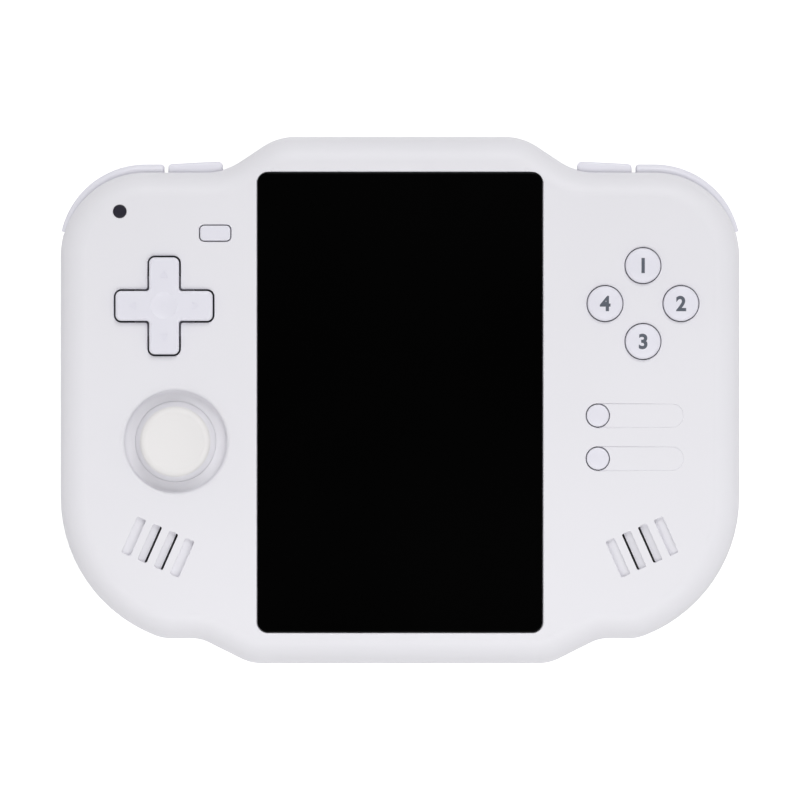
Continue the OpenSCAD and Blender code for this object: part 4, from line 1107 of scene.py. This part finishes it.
class Fittings(bpy.types.Operator):
    """Models the indicator lens, the rubber feet and the case screws"""

    bl_idname = "handheld.fittings"
    bl_label = "Lens, feet and screws"

    def execute(self, context):
        lens = (LENS_LOW + LENS_HIGH) / 2
        radius = (LENS_HIGH.x - LENS_LOW.x) / 2
        top = LENS_HIGH.z
        profile = [(0, LENS_LOW.z), (radius, LENS_LOW.z), (radius, top - 0.1 * MM)]
        profile += [(radius * k / 8, top - 0.06 * MM * (k / 8) ** 2) for k in range(7, -1, -1)]
        hand_over(lathe("indicator_lens_dot", profile, lens, 64), "housing", smoked_lens(), "indicator_lens")
        self.feet()
        self.screws()
        return {"FINISHED"}

    def feet(self):
        low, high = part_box("rubber_feet")
        radius, edge = 4.5 * MM, 0.3 * MM
        spots = foot_spots()
        profile = [(0, high.z), (radius, high.z)] + arc(radius - edge, low.z + edge, edge, 0, -90, 6) + [(0, low.z)]
        foot = lathe("rubber_foot_1", profile, Vector((*spots[0], 0)), 64)
        only(foot)
        feet = [foot]
        for i, (x, y) in enumerate(spots[1:], 2):
            feet.append(copy_of(foot, f"rubber_foot_{i}", (x - spots[0][0], y - spots[0][1], 0)))
        for piece in feet:
            hand_over(piece, "housing", soft_rubber("foot_rubber", colours().rubber), "rubber_feet")

    def screws(self):
        low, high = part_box("case_screws")
        spots = screw_spots()
        centre = Vector((*spots[0], 0))
        head, shank, edge = 1.9 * MM, 1.0 * MM, 0.3 * MM
        seat = low.z + 1.4 * MM
        profile = [(0, low.z)] + arc(head - edge, low.z + edge, edge, -90, 0, 5)
        profile += [(head, seat), (shank, seat), (shank, high.z - 0.5 * MM), (0.6 * MM, high.z), (0, high.z)]
        screw = lathe("case_screw_1", profile, centre, 64)
        only(screw)
        arms = cross(2.4 * MM, 0.6 * MM, 0.1 * MM, 0.1 * MM, centre.x, centre.y)
        cut(screw, block("recess", arms, low.z - MM, low.z + 0.8 * MM))
        screws = [screw]
        for i, (x, y) in enumerate(spots[1:], 2):
            screws.append(copy_of(screw, f"case_screw_{i}", (x - centre.x, y - centre.y, 0)))
        for piece in screws:
            hand_over(piece, "housing", drawn_steel("screw_steel", colours().steel), "case_screws")


class InnerParts(bpy.types.Operator):
    """Gives the parts inside the shells and the port sockets their finishes"""

    bl_idname = "handheld.inner_parts"
    bl_label = "Inner parts"

    def execute(self, context):
        dark = moulded_plastic("dark_plastic", from_screen(34, 34, 37), 0.4, 0.55, 2600.0, 0.005 * MM)
        steel = drawn_steel("socket_steel", colours().steel)
        tin = drawn_steel("tinned_sheet", from_screen(200, 202, 205), 0.28, 0.45)
        silicone = soft_rubber("silicone", from_screen(132, 134, 138))
        film = moulded_plastic("amber_film", from_screen(196, 148, 80), 0.3, 0.4, 900.0, 0.002 * MM)
        foam = soft_rubber("foam", from_screen(48, 48, 48))
        panel = moulded_plastic("panel_glass", from_screen(36, 36, 42), 0.1, 0.2, 300.0, 0.001 * MM)
        wrap = moulded_plastic("battery_wrap", from_screen(78, 82, 86), 0.3, 0.5, 700.0, 0.01 * MM)
        finishes = {
            dark: ("stick_case", "pad_post", "home_switch", "shoulder_switches", "edge_switches", "headphone_jack",
                   "left_speaker", "right_speaker"),
            steel: ("usb_port", "card_socket", "bumper_pins", "pad_ball", "stick_yoke", "stick_block"),
            tin: ("shield_can",),
            silicone: ("pad_membrane", "face_membrane", "menu_membrane"),
            film: ("display_ribbon",),
            foam: ("screen_gasket",),
            panel: ("display_panel",),
            wrap: ("battery",),
            circuit_board(): ("main_board",),
            woven_mesh(): ("speaker_meshes",),
        }
        for material, names in finishes.items():
            for name in names:
                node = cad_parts[name]
                if node.material_slots:
                    for held in node.material_slots:
                        held.material = material
                else:
                    node.data.materials.append(material)
        return {"FINISHED"}


# Floor, light and camera

def area_lamp(name, place, target, width, height, power):
    bpy.ops.object.light_add(type="AREA", location=place)
    lamp = bpy.context.object
    lamp.name = name
    lamp.data.shape = "RECTANGLE"
    lamp.data.size = width
    lamp.data.size_y = height
    lamp.data.energy = power
    lamp.visible_camera = False
    lamp.rotation_euler = (Vector(target) - Vector(place)).to_track_quat("-Z", "Y").to_euler()
    return lamp


class Stage(bpy.types.Operator):
    """Sets the floor, the soft studio light and the camera straight above the console"""

    bl_idname = "handheld.stage"
    bl_label = "Stage"

    def execute(self, context):
        scene = context.scene
        self.floor()
        self.sky(scene)
        area_lamp("key_lamp", (0.4, 1.6, 2.3), (0, 0, 0), 1.1, 0.8, 22.0)
        area_lamp("fill_lamp", (0.01, -0.17, 0.36), (0, -0.03, 0), 0.4, 0.12, 0.5)
        bpy.ops.object.camera_add(location=(0, 0, 2.01), rotation=(0, 0, 0))
        camera = context.object
        camera.name = "photo_camera"
        camera.data.sensor_width = 36.0
        camera.data.lens = 423.7
        camera.data.clip_start = 0.01
        scene.camera = camera
        scene.view_settings.view_transform = "Standard"
        return {"FINISHED"}

    def floor(self):
        floor = start("studio_floor", "plane", size=6.0)
        only(floor)
        material = finish("studio_floor", (0.9, 0.9, 0.9), 0.9, specular=0.0)
        tree = material.node_tree
        shader = tree.nodes["Principled BSDF"]
        seen = tree.nodes.new("ShaderNodeLightPath")
        glow = tree.nodes.new("ShaderNodeMapRange")
        glow.inputs["To Max"].default_value = 0.6
        tree.links.new(seen.outputs["Is Camera Ray"], glow.inputs["Value"])
        shader.inputs["Emission Color"].default_value = (1, 1, 1, 1)
        tree.links.new(glow.outputs["Result"], shader.inputs["Emission Strength"])
        floor.data.materials.append(material)

    def sky(self, scene):
        world = scene.world or bpy.data.worlds.new("studio")
        scene.world = world
        world.use_nodes = True
        tree = world.node_tree
        back = tree.nodes["Background"]
        place = tree.nodes.new("ShaderNodeTexCoord")
        split = tree.nodes.new("ShaderNodeSeparateXYZ")
        ramp = tree.nodes.new("ShaderNodeValToRGB")
        tree.links.new(place.outputs["Generated"], split.inputs["Vector"])
        tree.links.new(split.outputs["Z"], ramp.inputs["Fac"])
        tree.links.new(ramp.outputs["Color"], back.inputs["Color"])
        ramp.color_ramp.elements[0].position = 0.75
        ramp.color_ramp.elements[0].color = (1, 1, 1, 1)
        ramp.color_ramp.elements[1].position = 0.97
        ramp.color_ramp.elements[1].color = (0.0, 0.0, 0.0, 1)
        back.inputs["Strength"].default_value = 0.71


class ConsolePanel(bpy.types.Panel):
    """Lists the steps and sizes in the sidebar"""

    bl_idname = "VIEW3D_PT_handheld"
    bl_label = "Handheld console"
    bl_space_type = "VIEW_3D"
    bl_region_type = "UI"
    bl_category = "Console"

    def draw(self, context):
        for step in STEPS:
            self.layout.operator(step.bl_idname)
        for group in (context.scene.handheld_sizes, context.scene.handheld_colours):
            for name in group.__annotations__:
                self.layout.prop(group, name)


STEPS = (FrontShell, RearShell, Screen, DirectionPad, FaceButtons, MenuButtons, HomeButton, Thumbstick, Bumpers,
         Triggers, EdgeKeys, Fittings, InnerParts, Stage)
CLASSES = (HandheldSizes, HandheldColours, *STEPS, ConsolePanel)


def register():
    for kind in CLASSES:
        bpy.utils.register_class(kind)
    bpy.types.Scene.handheld_sizes = bpy.props.PointerProperty(type=HandheldSizes)
    bpy.types.Scene.handheld_colours = bpy.props.PointerProperty(type=HandheldColours)


def unregister():
    del bpy.types.Scene.handheld_colours
    del bpy.types.Scene.handheld_sizes
    for kind in reversed(CLASSES):
        bpy.utils.unregister_class(kind)


def main():
    register()
    for step in STEPS:
        group, name = step.bl_idname.split(".")
        getattr(getattr(bpy.ops, group), name)()


if __name__ == "__main__":
    main()
